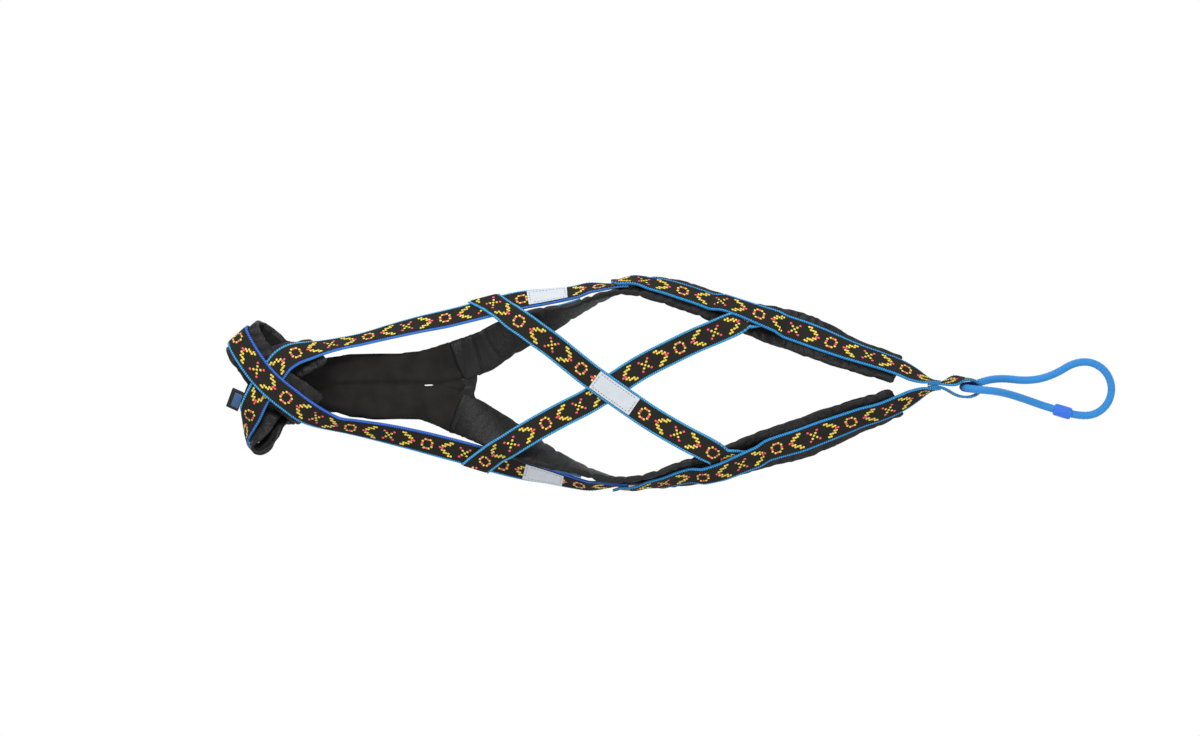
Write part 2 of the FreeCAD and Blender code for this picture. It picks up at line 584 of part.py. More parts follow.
def build_tab():
    """Label tab that turns on its rounded edge beside the right shoulder strap, and its panel."""
    seam = right_shoulder.frame(crossing_length(right_shoulder) + size("tab_from_crossing"))
    nose, reach = size("tab_thickness") / 2, size("tab_reach")
    hinge = moved(seam, -HALF_WEBBING - size("tab_gap") - nose, GAP + WEBBING / 2)
    tab = new_body("label_tab")
    flat = nose - reach
    sketch = outline_sketch(tab, "label_tab_profile", placement(hinge),
                            [(0, nose), (flat, nose), (flat, -nose), (0, -nose)], closed=False)
    sketch.addGeometry(Part.ArcOfCircle(Part.Circle(Vector(), UP, nose), -math.pi / 2,
                                        math.pi / 2), False)
    sketch.addConstraint([Sketcher.Constraint("Horizontal", 0),
                          Sketcher.Constraint("Vertical", 1),
                          Sketcher.Constraint("Horizontal", 2),
                          Sketcher.Constraint("Coincident", 3, 3, -1, 1),
                          Sketcher.Constraint("Coincident", 3, 1, 2, 2),
                          Sketcher.Constraint("Coincident", 3, 2, 0, 1),
                          Sketcher.Constraint("PointOnObject", 0, 1, -2)])
    bound(sketch, "DistanceX", (0, 2), (0, 1), -flat, "sizes.tab_reach - sizes.tab_thickness / 2")
    bound(sketch, "DistanceY", (1, 2), (1, 1), 2 * nose, "sizes.tab_thickness")
    fold = tab.newObject("PartDesign::Pad", "label_tab_fold")
    fold.Profile = sketch
    fold.Midplane = True
    fold.setExpression("Length", "sizes.tab_length")
    middle = moved(hinge, nose - reach / 2, nose + PANEL_GAP)
    panel = new_body("label_panel")
    sketch = panel_outline(panel, "label_panel_outline", middle)
    plate = panel.newObject("PartDesign::Pad", "label_panel_plate")
    plate.Profile = sketch
    plate.setExpression("Length", "sizes.tab_panel_thickness")


def panel_outline(body, name, frame):
    """Rectangle in the plane of the tab."""
    place, ahead, side, normal = frame
    wide, long = size("tab_panel_reach") / 2, size("tab_panel_length") / 2
    sketch = outline_sketch(body, name, Placement(place, Rotation(side, ahead, normal, "ZXY")),
                            [(-wide, -long), (wide, -long), (wide, long), (-wide, long)])
    sketch.addConstraint([Sketcher.Constraint("Horizontal", 0), Sketcher.Constraint("Vertical", 1),
                          Sketcher.Constraint("Horizontal", 2), Sketcher.Constraint("Vertical", 3),
                          Sketcher.Constraint("Symmetric", 0, 1, 1, 2, -1, 1)])
    bound(sketch, "DistanceX", (0, 1), (0, 2), 2 * wide, "sizes.tab_panel_reach")
    bound(sketch, "DistanceY", (1, 1), (1, 2), 2 * long, "sizes.tab_panel_length")
    return sketch


def crossing_length(route):
    """Length at which a shoulder strap reaches the crossing on the withers."""
    marks = range(0, int(route.length))
    return min(marks, key=lambda mark: (route.curve(route.points, mark)
                                        - Vector(-338, 0, 42)).Length)


# tail rope: from its splice over the eye's upper edge, round it, and back along the ground
PIVOT = Vector(373, -6, EYE_MIDDLE)
BIGHT = (math.hypot(HALF_WEBBING, STACK / 2) + size("rope_clearance")
         + size("rope_diameter") / 2)


def bight_points():
    """Corners of the rope's turn round the edge-on webbing of the eye."""
    corner = BIGHT / math.cos(math.radians(18))
    drift = ((108, -7.3), (144, -6.2), (180, -5), (216, -3.8), (252, -2.6))
    return [(PIVOT.x + corner * math.cos(math.radians(turn)), y,
             PIVOT.z + corner * math.sin(math.radians(turn))) for turn, y in drift]


ROPE = ([(456, -29.5, 6.5), (440, -24.8, 6.5), (427, -20.3, 9.5), (414.5, -16, 16),
         (402, -12.2, 24.5), (391.5, -9.8, 33), (381, -8.4, PIVOT.z + BIGHT)]
        + bight_points()
        + [(383, 2.6, 4.4), (399, 3.6, 4.2), (416, 1.4, 4.2), (433, 2.6, 4.2), (450, 8.5, 4.2),
           (467.4, 19.3, 4.2), (484.9, 20.6, 4.2), (499.8, 11.3, 4.2), (506.3, -5, 4.2),
           (502.1, -22.1, 4.6), (488.6, -33, 5.6), (471.1, -33.9, 6.5), (456.4, -29.6, 6.5)])


def rounded_path(points):
    """Straight runs joined by tangent arcs, each as large as its two runs allow."""
    points = [Vector(*p) for p in points]
    edges, radii, last = [], [], points[0]
    for before, corner, after in zip(points, points[1:], points[2:]):
        into, out = unit(corner - before), unit(after - corner)
        half_turn = into.getAngle(out) / 2
        reach = 0.45 * min((corner - before).Length, (after - corner).Length)
        start, end = corner - into * reach, corner + out * reach
        bow = reach / math.tan(half_turn)
        radii.append(round(bow, 1))
        bisector = unit(out - into)
        middle = corner + bisector * (bow / math.cos(half_turn) - bow)
        edges += [Part.LineSegment(last, start).toShape(), Part.Arc(start, middle, end).toShape()]
        last = end
    edges.append(Part.LineSegment(last, points[-1]).toShape())
    return Part.Wire(edges), radii


def build_rope():
    path, radii = rounded_path(ROPE)
    print("tail_rope radii", radii, "length", round(path.Length, 1))
    start = Vector(*ROPE[0])
    ahead = unit(Vector(*ROPE[1]) - start)
    radius = size("rope_diameter") / 2
    section = Part.Wire(Part.makeCircle(radius, start, ahead))
    rope = doc.addObject("Part::Feature", "tail_rope")
    rope.Shape = path.makePipeShell([section], True, False)
    print("tail_rope volume over section times length",
          round(rope.Shape.Volume / (math.pi * radius**2 * path.Length), 4))
    sleeve = new_body("tail_rope_splice")
    turn = Rotation(Vector(0, 0, 1), ahead)
    offset = Placement(start - ahead * (size("splice_length") / 2), turn)
    plane = [f for f in sleeve.Origin.OriginFeatures if f.Role == "XY_Plane"][0]
    rings = sleeve.newObject("Sketcher::SketchObject", "splice_rings")
    rings.AttachmentSupport = [(plane, "")]
    rings.MapMode = "FlatFace"
    rings.AttachmentOffset = offset
    for formula, value in (
            ("sizes.splice_diameter", size("splice_diameter")),
            ("sizes.rope_diameter + 2 * sizes.layer_gap", size("rope_diameter") + 2 * GAP)):
        circle = rings.addGeometry(Part.Circle(Vector(), Vector(0, 0, 1), value / 2), False)
        rings.addConstraint(Sketcher.Constraint("Coincident", circle, 3, -1, 1))
        index = rings.addConstraint(Sketcher.Constraint("Diameter", circle, value))
        rings.setExpression(f"Constraints[{index}]", formula)
    tube = sleeve.newObject("PartDesign::Pad", "splice_tube")
    tube.Profile = rings
    tube.setExpression("Length", "sizes.splice_length")


for build in (build_straps, build_pads, build_reflectors, build_chest, build_tab, build_rope):
    build()
doc.recompute()


# ---------------------------------------------------------------- check, place and write

CORD_NODES = ("tail_rope", "tail_rope_splice")
nodes = [o for o in doc.Objects if o.TypeId == "PartDesign::Body" or o.Name == "tail_rope"]
failed = [o.Label for o in doc.Objects if "Invalid" in o.State or "Error" in o.State]
failed += [o.Label for o in nodes if o.Shape.isNull() or not o.Shape.isValid()
           or o.Shape.Volume <= 0 or len(o.Shape.Solids) != 1]
if failed:
    raise RuntimeError(f"these did not build: {failed}")

box = FreeCAD.BoundBox()
for node in nodes:
    if node.Label not in CORD_NODES:
        box.add(node.Shape.optimalBoundingBox(False))
origin = Vector(box.Center.x, box.Center.y, box.ZMin)
for node in nodes:
    node.Placement = Placement(-origin, Rotation()) * node.Placement
doc.recompute()
print("harness", round(box.XLength, 1), round(box.YLength, 1), round(box.ZLength, 1),
      "origin", [round(v, 3) for v in origin])

os.makedirs("parts", exist_ok=True)
for node in nodes:
    node.Shape.exportStep(f"parts/{node.Label}.step")
    print(node.Label, round(node.Shape.Volume))
print(len(nodes), "nodes")
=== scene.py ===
import bmesh
import bpy
import math
import random
from mathutils import Matrix, Quaternion, Vector, noise


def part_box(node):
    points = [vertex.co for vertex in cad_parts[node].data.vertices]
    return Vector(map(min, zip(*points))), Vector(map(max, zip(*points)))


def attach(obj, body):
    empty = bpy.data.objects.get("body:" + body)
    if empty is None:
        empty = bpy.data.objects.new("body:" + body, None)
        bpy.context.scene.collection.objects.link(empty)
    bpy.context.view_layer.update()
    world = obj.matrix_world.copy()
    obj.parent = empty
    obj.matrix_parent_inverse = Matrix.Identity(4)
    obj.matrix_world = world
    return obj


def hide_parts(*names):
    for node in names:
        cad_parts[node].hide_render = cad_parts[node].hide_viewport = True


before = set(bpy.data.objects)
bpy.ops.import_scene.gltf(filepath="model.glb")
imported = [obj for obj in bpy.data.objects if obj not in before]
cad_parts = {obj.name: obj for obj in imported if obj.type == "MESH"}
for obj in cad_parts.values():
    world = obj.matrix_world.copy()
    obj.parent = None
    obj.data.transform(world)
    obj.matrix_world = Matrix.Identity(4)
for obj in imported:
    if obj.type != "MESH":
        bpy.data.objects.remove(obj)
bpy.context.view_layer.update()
print("frame loaded", len(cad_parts), "nodes")

# Sizes are the source's, in mm. The stations lie in its layout, whose shift a node's box gives.
strap = {"webbing": 25.0, "webbingThick": 1.6, "ribbon": 20.5, "ribbonThick": 0.8, "gap": 0.15}
stack = strap["gap"] * 2 + strap["webbingThick"] + strap["ribbonThick"]
layer = stack + strap["gap"]
padWide, padThick = 42.0, 7.0
chestLow = Vector((-329.6, -49.3, layer))
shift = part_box("chest_pad_shell")[0] * 1000 - chestLow


def place(point):
    # layout millimetres to metres of the frame
    return (Vector(point) + shift) / 1000


def layoutOf(vertex):
    return vertex.co * 1000 - shift


# routes of the bands
def unit(vector):
    return vector.normalized()


def looking(compass, elevation):
    flat = math.cos(math.radians(elevation))
    return Vector((flat * math.cos(math.radians(compass)), flat * math.sin(math.radians(compass)),
                   math.sin(math.radians(elevation))))


def lying(points, side):
    # stations (x, y, bank) of a padded band whose lower edge rests on the ground
    corners = [(strap["webbing"] / 2, strap["gap"]), (strap["ribbon"] / 2, stack),
               (padWide / 2, 0), (padWide / 2, -padThick)]
    stations = []
    for i, (x, y, bank) in enumerate(points):
        before, after = points[max(i - 1, 0)], points[min(i + 1, len(points) - 1)]
        heading = math.degrees(math.atan2(after[1] - before[1], after[0] - before[0]))
        lean, drop = math.sin(math.radians(bank)), math.cos(math.radians(bank))
        height = max(half * lean - depth * drop for half, depth in corners)
        stations.append((x, y, height, heading + side * 90, 90 - bank))
    return stations


class Route:
    def __init__(self, stations):
        self.points = [Vector(s[:3]) for s in stations]
        self.normals = [looking(s[3], s[4]) for s in stations]
        self.knots = [0.0]
        for a, b in zip(self.points, self.points[1:]):
            self.knots.append(self.knots[-1] + (b - a).length)
        self.length = self.knots[-1]
        self.slopes = {"points": self.tangents(self.points), "normals": self.tangents(self.normals)}

    def tangents(self, values):
        gaps = [b - a for a, b in zip(self.knots, self.knots[1:])]
        slopes = [(b - a) / gap for a, b, gap in zip(values, values[1:], gaps)]
        inner = [(a * right + b * left) / (left + right)
                 for a, b, left, right in zip(slopes, slopes[1:], gaps, gaps[1:])]
        return [slopes[0], *inner, slopes[-1]]

    def curve(self, kind, length):
        values, slopes = getattr(self, kind), self.slopes[kind]
        i = 0
        while i < len(self.knots) - 2 and self.knots[i + 1] < length:
            i += 1
        gap = self.knots[i + 1] - self.knots[i]
        t = (length - self.knots[i]) / gap
        return (values[i] * (2 * t**3 - 3 * t**2 + 1) + slopes[i] * gap * (t**3 - 2 * t**2 + t)
                + values[i + 1] * (3 * t**2 - 2 * t**3) + slopes[i + 1] * gap * (t**3 - t**2))

    def frame(self, length):
        # place, ahead, across and outward
        step = 0.25
        ahead = unit(self.curve("points", min(length + step, self.length))
                     - self.curve("points", max(length - step, 0)))
        normal = self.curve("normals", length)
        normal = unit(normal - ahead * normal.dot(ahead))
        return self.curve("points", length), ahead, unit(normal.cross(ahead)), normal

    def atX(self, x):
        # the length at which the route comes to x
        parts = 400
        marks = [self.length * i / parts for i in range(parts + 1)]
        return min(marks, key=lambda mark: abs(self.curve("points", mark).x - x))

    def near(self, point):
        return min(range(int(self.length)),
                   key=lambda mark: (self.curve("points", mark) - Vector(point)).length)


def moved(at, across=0.0, outward=0.0):
    spot, ahead, side, normal = at
    return spot + side * across + normal * outward, ahead, side, normal


def stationOn(route, length, across, outward):
    spot, _, _, normal = moved(route.frame(length), across, outward)
    return (*spot, math.degrees(math.atan2(normal.y, normal.x)), math.degrees(math.asin(normal.z)))


def eased(length, marks):
    if not marks or length <= marks[0][0]:
        return marks[0][1] if marks else 0.0
    for (a, low), (b, high) in zip(marks, marks[1:]):
        if length <= b:
            t = (length - a) / (b - a)
            return low + (high - low) * t * t * (3 - 2 * t)
    return marks[-1][1]


# leg bands: from the front of the chest, side by side, then apart to the ribs, turning over
rightLeg = Route(lying([
    (-317, 12.5, 180), (-304, 8.5, 180), (-286, 7.6, 180), (-258, 7.7, 180), (-228, 7.8, 180),
    (-201, 8.5, 180), (-181, 10.5, 180), (-163, 15, 180), (-147, 21, 180), (-126, 30, 166),
    (-106, 42, 153), (-86, 53, 142), (-66, 62.5, 129), (-46, 70.5, 114), (-31, 76.5, 104),
    (-16, 83.5, 98), (-6, 87.5, 95), (1, 90, 92)], 1))
leftLeg = Route(lying([
    (-315.5, -19, 180), (-303, -17.8, 180), (-286, -17.9, 180), (-258, -17.9, 180),
    (-228, -18, 180), (-201, -18.6, 180), (-181, -20.5, 180), (-163, -25, 180),
    (-147, -30.8, 180), (-126, -42, 162), (-106, -54, 148), (-86, -65.2, 136),
    (-66, -75.5, 122), (-46, -84, 108), (-31, -89.2, 100), (-16, -94.4, 95),
    (-6, -97.4, 93), (1, -99.3, 91)], -1))

# side bands: from the ribs back to the tail, the bare ends on edge and back to back
rightSide = Route(lying([
    (2, 90.5, 91), (9, 93.8, 85), (19, 96.3, 77), (34, 97.8, 66), (54, 95, 56), (74, 89.5, 51),
    (94, 83, 50), (114, 75.5, 47), (134, 68.8, 45), (154, 62, 37), (174, 56.2, 24),
    (194, 49.8, 18), (214, 42.2, 22), (234, 34, 34), (254, 26.7, 43), (274, 20.2, 47),
    (294, 12.8, 50)], 1)
    + [(306, 6.6, 20.5, 69, 34), (317, 1.6, 21.3, 68, 18), (325, -0.4, 21.7, 80, 4),
       (333, -1.1, 21.8, 90, 0)])
leftSide = Route(lying([
    (2, -99.6, 91), (9, -100.8, 88), (19, -101.5, 85), (34, -101.5, 79), (54, -99.3, 68),
    (74, -94.2, 58), (94, -89.8, 51), (114, -85, 43), (134, -77.2, 38), (154, -69.8, 32),
    (174, -63.5, 25), (194, -57.7, 19), (214, -50, 22), (234, -42.4, 30), (254, -34.7, 38),
    (274, -28.6, 43), (294, -19.8, 47)], -1)
    + [(306, -13.3, 20.5, -67, 34), (317, -8, 21.3, -68, 18), (325, -6.1, 21.7, -80, 4),
       (333, -5.4, 21.8, -90, 0)])

# shoulder bands: from the ribs forward, up to the withers, over and round the neck to the chest
neckBend = {"middle": (-357.9, 28.5, 21.2), "half": (-12.3, 13.8, 18.5), "drift": (2.84, 2.52),
            "compass": 131.6}


def bendStation(degrees):
    # the left band comes down in half a turn that drifts aside
    t = math.radians(degrees)
    (x, y, z), (wide, long, high), (driftX, driftY) = (
        neckBend[key] for key in ("middle", "half", "drift"))
    return (x + wide * math.sin(t) + driftX * t, y + long * math.sin(t) + driftY * t,
            z + high * math.cos(t), neckBend["compass"], 90 - degrees)


def shoulderEnd(sideBand):
    return [stationOn(sideBand, sideBand.atX(x), across, 2 * strap["gap"])
            for x, across in ((22, 0), (11, -0.5))]


leftShoulder = Route(
    shoulderEnd(leftSide)
    + [(-5, -101.5, 17.5, -90, 16), (-16, -102.2, 14.5, -90, 22), (-31, -99.5, 12.5, -90, 27),
       (-56, -93, 11.5, -90, 37), (-81, -87.5, 12.5, -90, 49), (-106, -80.5, 12.5, -90, 59),
       (-131, -73, 11.5, -90, 64), (-161, -65, 7.5, -90, 63), (-191, -57.3, 7, -90, 57),
       (-221, -50.3, 8.5, -90, 49), (-251, -44.2, 11, -90, 38), (-271, -40.5, 15, -85, 33),
       (-288, -34.5, 25.5, -80, 50), (-302, -27, 37, -70, 74), (-314, -18, 45, -60, 84),
       (-325, -9.5, 46.4, 0, 90), (-336, 0.5, 45.8, 0, 90), (-345, 10.5, 45.2, 135, 88),
       (-353, 21.5, 43.3, 133, 80)]
    + [bendStation(degrees) for degrees in range(15, 180, 30)]
    + [(-343, 32.3, 2.7, 0, -90), (-333, 24.5, 2.7, 0, -90), (-319.5, 14.4, 2.7, 0, -90)])
rightShoulder = Route(
    shoulderEnd(rightSide)
    + [(-5, 93, 17.5, 90, 18), (-16, 92.5, 14.5, 90, 26), (-31, 88.5, 12.5, 90, 30),
       (-56, 84.5, 11.5, 90, 37), (-86, 80.5, 12.5, 90, 46), (-111, 74.5, 12.5, 90, 47),
       (-136, 68, 11, 90, 46), (-156, 63, 8.8, 90, 45), (-186, 56.5, 9, 90, 40),
       (-216, 49, 10, 90, 33), (-246, 41, 11.5, 90, 26), (-266, 37, 15.5, 90, 26),
       (-283, 33.5, 21.8, 85, 31), (-297, 30.5, 28.5, 80, 44), (-312, 26.5, 37.5, 85, 66),
       (-322, 20, 41.8, 100, 82), (-329, 11, 42.3, 150, 88), (-338, 0, 42.3, 180, 88),
       (-344, -11, 42.2, 180, 90), (-349, -21, 41.4, 180, 86), (-352.5, -30, 37.5, 180, 74),
       (-355, -39, 29, 178, 46), (-356.4, -48, 22.5, 180, 22), (-356.6, -56, 19.5, 184, 8),
       (-353.6, -64, 18, 218, 1), (-346.5, -67.6, 17.5, 270, -2), (-339.5, -64, 17.5, 322, -8),
       (-336.6, -56, 17, 350, -22), (-335.5, -48, 13.8, 352, -44), (-333, -40, 8.8, 345, -64),
       (-329.5, -33, 5.6, 330, -79), (-324, -26.5, 3.6, 315, -87), (-317.5, -20.5, 2.7, 0, -90)])


# back straps: from a shoulder strap over its leg pad, across the back, under the other side strap
def onStrap(route, places):
    stations = []
    for x, across, clear in places:
        spotX, spotY, height, *facing = stationOn(route, route.atX(x), across, layer)
        stations.append((spotX, spotY, height + clear, *facing))
    return stations


def underWebbing(sideBand, places):
    return [stationOn(sideBand, sideBand.atX(x), across, 4 * strap["gap"]) for x, across in places]


backOver = Route(
    onStrap(rightShoulder, ((-129, -24, 0), (-119, -12, 0), (-113, -4, 0), (-107.5, 4, 1),
                            (-102, 12, 4)))
    + [(-91, 63.2, 34.5, 90, 84), (-80, 55.8, 39.5, 90, 86), (-68, 47, 40, 0, 90),
       (-54, 37, 35.5, 0, 90), (-36, 22.5, 28, 0, 90), (-16, 6.5, 23, 0, 90),
       (4, -8, 20.6, 0, 90), (24, -22, 21, 0, 90), (44, -35.5, 24, 0, 90), (64, -47.5, 29, 0, 90),
       (82, -57.5, 35, 0, 90), (96, -64.5, 38.5, -90, 84), (107, -70, 38, -90, 68)]
    + underWebbing(leftSide, ((117, 13), (128, 4), (138, -4))))
backUnder = Route(
    onStrap(leftShoulder, ((-134.4, 24, 0), (-127, 12, 0), (-122, 4, 1), (-117, -4, 4),
                           (-112, -12, 9)))
    + [(-98, -63.6, 39.5, -90, 80), (-88, -57.4, 40.5, -90, 86), (-74, -49, 37.5, 0, 90),
       (-46, -33.5, 26, 0, 90), (-16, -18, 18.5, 0, 90), (6, -4, 16.4, 0, 90),
       (34, 14, 18, 0, 90), (64, 29.5, 23, 0, 90), (89, 41.5, 30, 0, 90), (108, 49.5, 36.5, 0, 90),
       (120, 54.5, 39, 90, 84), (129, 58, 38, 90, 68)]
    + underWebbing(rightSide, ((138, -9), (147, -1), (155, 6))))

# tail eye: two tails between the ends of the side straps, and a loop that stands on edge
eyeClear = 9.3
eyeMiddle = eyeClear + strap["webbing"] / 2
tailEye = Route([(x, y, eyeMiddle, compass, lean) for x, y, compass, lean in (
    (321, -3.15, 90, 0), (332, -3.15, 90, 0), (340, -1.8, 104, 12), (348, 0.4, 100, 22),
    (357, 1.5, 92, 6), (365.5, 0.4, 72, 0), (370.4, -2.6, 38, 0), (371.6, -6, 0, 0),
    (370.4, -9.4, -38, 0), (365.5, -12.4, -72, 0), (357, -13.4, -92, 0), (348, -11, -106, 0),
    (340, -6.4, -112, 0), (332, -3.35, -90, 0), (321, -3.35, -90, 0))])

# side bands rise over the shoulder bands' ends at the ribs and over a back strap's tucked end
sideLift = {"over": stack + 4 * strap["gap"], "end": 2.6, "tuck": 2, "ramp": 16}


def liftMarks(band, tuckStart, tuckEnd):
    over, ramp = sideLift["over"], sideLift["ramp"]
    tuck = over + sideLift["tuck"]
    return [(band.atX(x), rise) for x, rise in (
        (8, over + sideLift["end"]), (14, over), (26, over), (44, 0),
        (tuckStart - ramp, 0), (tuckStart, tuck), (tuckEnd, tuck), (tuckEnd + ramp, 0))]


withers = (-338, 0, 42)
crossingRight, crossingLeft = rightShoulder.near(withers), leftShoulder.near(withers)
# per band: its route, where it starts and ends along it, its lift marks, the colours of its
# +across and -across edges, and its first motif
bands = {
    "right_leg": (rightLeg, rightLeg.atX(-307), rightLeg.atX(-24), None, "royal", "sky", 0),
    "left_leg": (leftLeg, leftLeg.atX(-304), leftLeg.atX(-24), None, "royal", "sky", 1),
    "right_side": (rightSide, rightSide.atX(8), rightSide.length, liftMarks(rightSide, 118, 166),
                   "mid", "mid", 2),
    "left_side": (leftSide, leftSide.atX(8), leftSide.length, liftMarks(leftSide, 98, 148),
                  "mid", "mid", 1),
}
for name, route, *look in (
        ("left_shoulder", leftShoulder, "sky", "royal", 3),
        ("right_shoulder", rightShoulder, "royal", "sky", 0),
        ("back_over", backOver, "sky", "sky", 2), ("back_under", backUnder, "sky", "sky", 0),
        ("tail_eye", tailEye, "mid", "mid", 0)):
    bands[name] = (route, 0, route.length, None, *look)
print("routes ready")


# finishes
def srgb(r, g, b):
    return tuple(((c / 255 + 0.055) / 1.055) ** 2.4 if c > 10 else c / 255 / 12.92
                 for c in (r, g, b)) + (1.0,)


def shaded(colour, share):
    return tuple(min(1.0, c * share) for c in colour[:3]) + (1.0,)


def filled(node, values):
    for name, value in values.items():
        node.inputs[name].default_value = value
    return node


class Finish:
    def __init__(self, name, colour, roughness, sheen=0.0, specular=0.5):
        self.made = bpy.data.materials.new(name)
        self.made.use_nodes = True
        self.nodes, self.links = self.made.node_tree.nodes, self.made.node_tree.links
        self.shader = filled(self.nodes["Principled BSDF"], {
            "Base Color": colour, "Roughness": roughness, "Sheen Weight": sheen,
            "Specular IOR Level": specular})

    def texture(self, kind, values, scale=(1, 1, 1), source="UV"):
        coords = self.nodes.new("ShaderNodeTexCoord")
        mapping = filled(self.nodes.new("ShaderNodeMapping"), {"Scale": scale})
        grain = filled(self.nodes.new(f"ShaderNodeTex{kind}"), values)
        self.links.new(coords.outputs[source], mapping.inputs["Vector"])
        self.links.new(mapping.outputs["Vector"], grain.inputs["Vector"])
        return grain.outputs["Fac"]

    def tone(self, factor, look):
        # runs from the look's dark to its light colour
        blend = self.nodes.new("ShaderNodeMix")
        blend.data_type = "RGBA"
        blend.inputs[6].default_value = look["dark"]
        blend.inputs[7].default_value = look["light"]
        self.links.new(factor, blend.inputs[0])
        self.links.new(blend.outputs[2], self.shader.inputs["Base Color"])

    def bump(self, height, strength, distance):
        # distance in metres; a second bump goes on top of the first
        bump = filled(self.nodes.new("ShaderNodeBump"),
                      {"Strength": strength, "Distance": distance})
        normal = self.shader.inputs["Normal"]
        self.links.new(height, bump.inputs["Height"])
        if normal.is_linked:
            self.links.new(normal.links[0].from_socket, bump.inputs["Normal"])
        self.links.new(bump.outputs["Normal"], normal)


# fine cross ribs of the woven ribbon, pitch in mm; the colour follows the same wave, painted shade in
# the grooves and painted highlight on the rib tops
ribbonLook = {"dark": srgb(19, 18, 16), "light": srgb(46, 44, 40), "roughness": 0.8,
              "pitch": 0.7, "waver": 0.6, "bump": 0.35}
wavePitch = 0.314  # of the wave texture at scale 1


def ribbonMaterial():
    finish = Finish("ribbon", ribbonLook["dark"], ribbonLook["roughness"], specular=0.1)
    wave = finish.texture("Wave", {"Scale": wavePitch / ribbonLook["pitch"],
                                   "Distortion": ribbonLook["waver"]})
    # painted shade and highlight: the ribs' own height picks the dark or the light colour
    finish.tone(wave, ribbonLook)
    finish.bump(wave, ribbonLook["bump"], distance=0.0002)
    return finish.made


# nylon with short wrinkles that run in from the edges; the wrinkle height also sets the colour,
# painted shade in the hollows and painted highlight on the crests
nylonLook = {"dark": srgb(8, 8, 8), "light": srgb(16, 15, 15), "roughness": 0.5,
             "wrinkle": 0.4, "wrinkleScale": (0.16, 0.05, 1),
             "weave": 0.25, "weaveScale": (2.5, 2.5, 2.5)}


def nylonMaterial():
    finish = Finish("nylon", nylonLook["dark"], nylonLook["roughness"], specular=0.3)
    wrinkle = finish.texture("Noise", {"Detail": 5}, nylonLook["wrinkleScale"])
    # painted shade in the wrinkle hollows and painted highlight on their crests
    finish.tone(wrinkle, nylonLook)
    weave = finish.texture("Noise", {}, nylonLook["weaveScale"])
    finish.bump(wrinkle, nylonLook["wrinkle"], distance=0.0025)
    finish.bump(weave, nylonLook["weave"], distance=0.0003)
    return finish.made


fleeceLook = {"dark": srgb(17, 16, 16), "light": srgb(42, 40, 39), "roughness": 0.9,
              "fibre": 900.0, "cloud": 60, "pile": 0.6}


def fleeceMaterial():
    finish = Finish("fleece", fleeceLook["dark"], fleeceLook["roughness"], specular=0.12)
    fibre = finish.texture("Noise", {"Scale": fleeceLook["fibre"], "Detail": 4}, source="Object")
    cloud = finish.texture("Noise", {"Scale": fleeceLook["cloud"], "Detail": 6}, source="Object")
    finish.tone(cloud, fleeceLook)
    finish.bump(fibre, fleeceLook["pile"], distance=0.0006)
    return finish.made


def threadMaterial():
    # each bead brings its own tint
    finish = Finish("thread", (0.5, 0.5, 0.5, 1), roughness=0.55, sheen=0.1, specular=0.25)
    tint = finish.nodes.new("ShaderNodeAttribute")
    tint.attribute_name = "tint"
    finish.links.new(tint.outputs["Color"], finish.shader.inputs["Base Color"])
    return finish.made


def plainMaterial(name, colour, roughness, sheen=0.1, grain=(900.0, 0.3, 0.0003)):
    # grain: scale, strength and distance
    finish = Finish(name, colour, roughness, sheen, specular=0.4)
    finish.bump(finish.texture("Noise", {"Scale": grain[0]}, source="Object"), *grain[1:])
    return finish.made


blues = {"sky": srgb(62, 160, 212), "royal": srgb(48, 108, 212), "mid": srgb(38, 148, 214),
         "rope": srgb(30, 128, 198), "panel": srgb(50, 85, 128)}
threads = {"y": srgb(222, 196, 76), "c": srgb(232, 78, 106), "white": srgb(225, 225, 225),
           "black": srgb(22, 21, 20), "grey": srgb(70, 70, 75)}
# the webbing under the selvedge ribs is its edge blue darkened by this share: painted shade in the
# gaps between the ribs
webbingLook = {"shade": 0.45, "roughness": 0.7}
ribbonFinish, nylonFinish, fleeceFinish = ribbonMaterial(), nylonMaterial(), fleeceMaterial()
threadFinish = threadMaterial()
shadedWebbingFinish = {name: plainMaterial(f"webbing {name}", shaded(blues[name], webbingLook["shade"]),
                                     webbingLook["roughness"])
                 for name in ("sky", "royal", "mid")}
reflectiveFinish = plainMaterial("reflective", srgb(188, 194, 200), roughness=0.35, sheen=0.0,
                                 grain=(75.0, 0.8, 0.004))
tapeFinish = plainMaterial("tape", srgb(18, 18, 18), roughness=0.7)
panelFinish = plainMaterial("panel", blues["panel"], roughness=0.6)
print("finishes ready")


# meshes
def added(name, data):
    made = bpy.data.objects.new(name, data)
    bpy.context.scene.collection.objects.link(made)
    return made


def evaluated(made):
    return made.evaluated_get(bpy.context.evaluated_depsgraph_get())


def tubeFaces(rows, ring):
    # the sides of a tube, row after row, and then its two ends
    sides = [(i * ring + j, i * ring + (j + 1) % ring, (i + 1) * ring + (j + 1) % ring,
              (i + 1) * ring + j) for i in range(rows - 1) for j in range(ring)]
    return sides + [tuple(range(ring))[::-1], tuple((rows - 1) * ring + j for j in range(ring))]


def madeObject(name, verts, faces, finish, smooth, uvs=None):
    # smooth: angle in degrees up to which an edge is shaded soft
    mesh = bpy.data.meshes.new(name)
    mesh.from_pydata([tuple(v) for v in verts], [], faces)
    if uvs:
        uvLayer = mesh.uv_layers.new(name="UVMap")
        for loop in mesh.loops:
            uvLayer.data[loop.index].uv = uvs[loop.vertex_index]
    for face in mesh.polygons:
        face.use_smooth = True
    mesh.set_sharp_from_angle(angle=math.radians(smooth))
    mesh.materials.append(finish)
    turned = bmesh.new()
    turned.from_mesh(mesh)
    bmesh.ops.recalc_face_normals(turned, faces=turned.faces)
    turned.to_mesh(mesh)
    turned.free()
    return added(name, mesh)


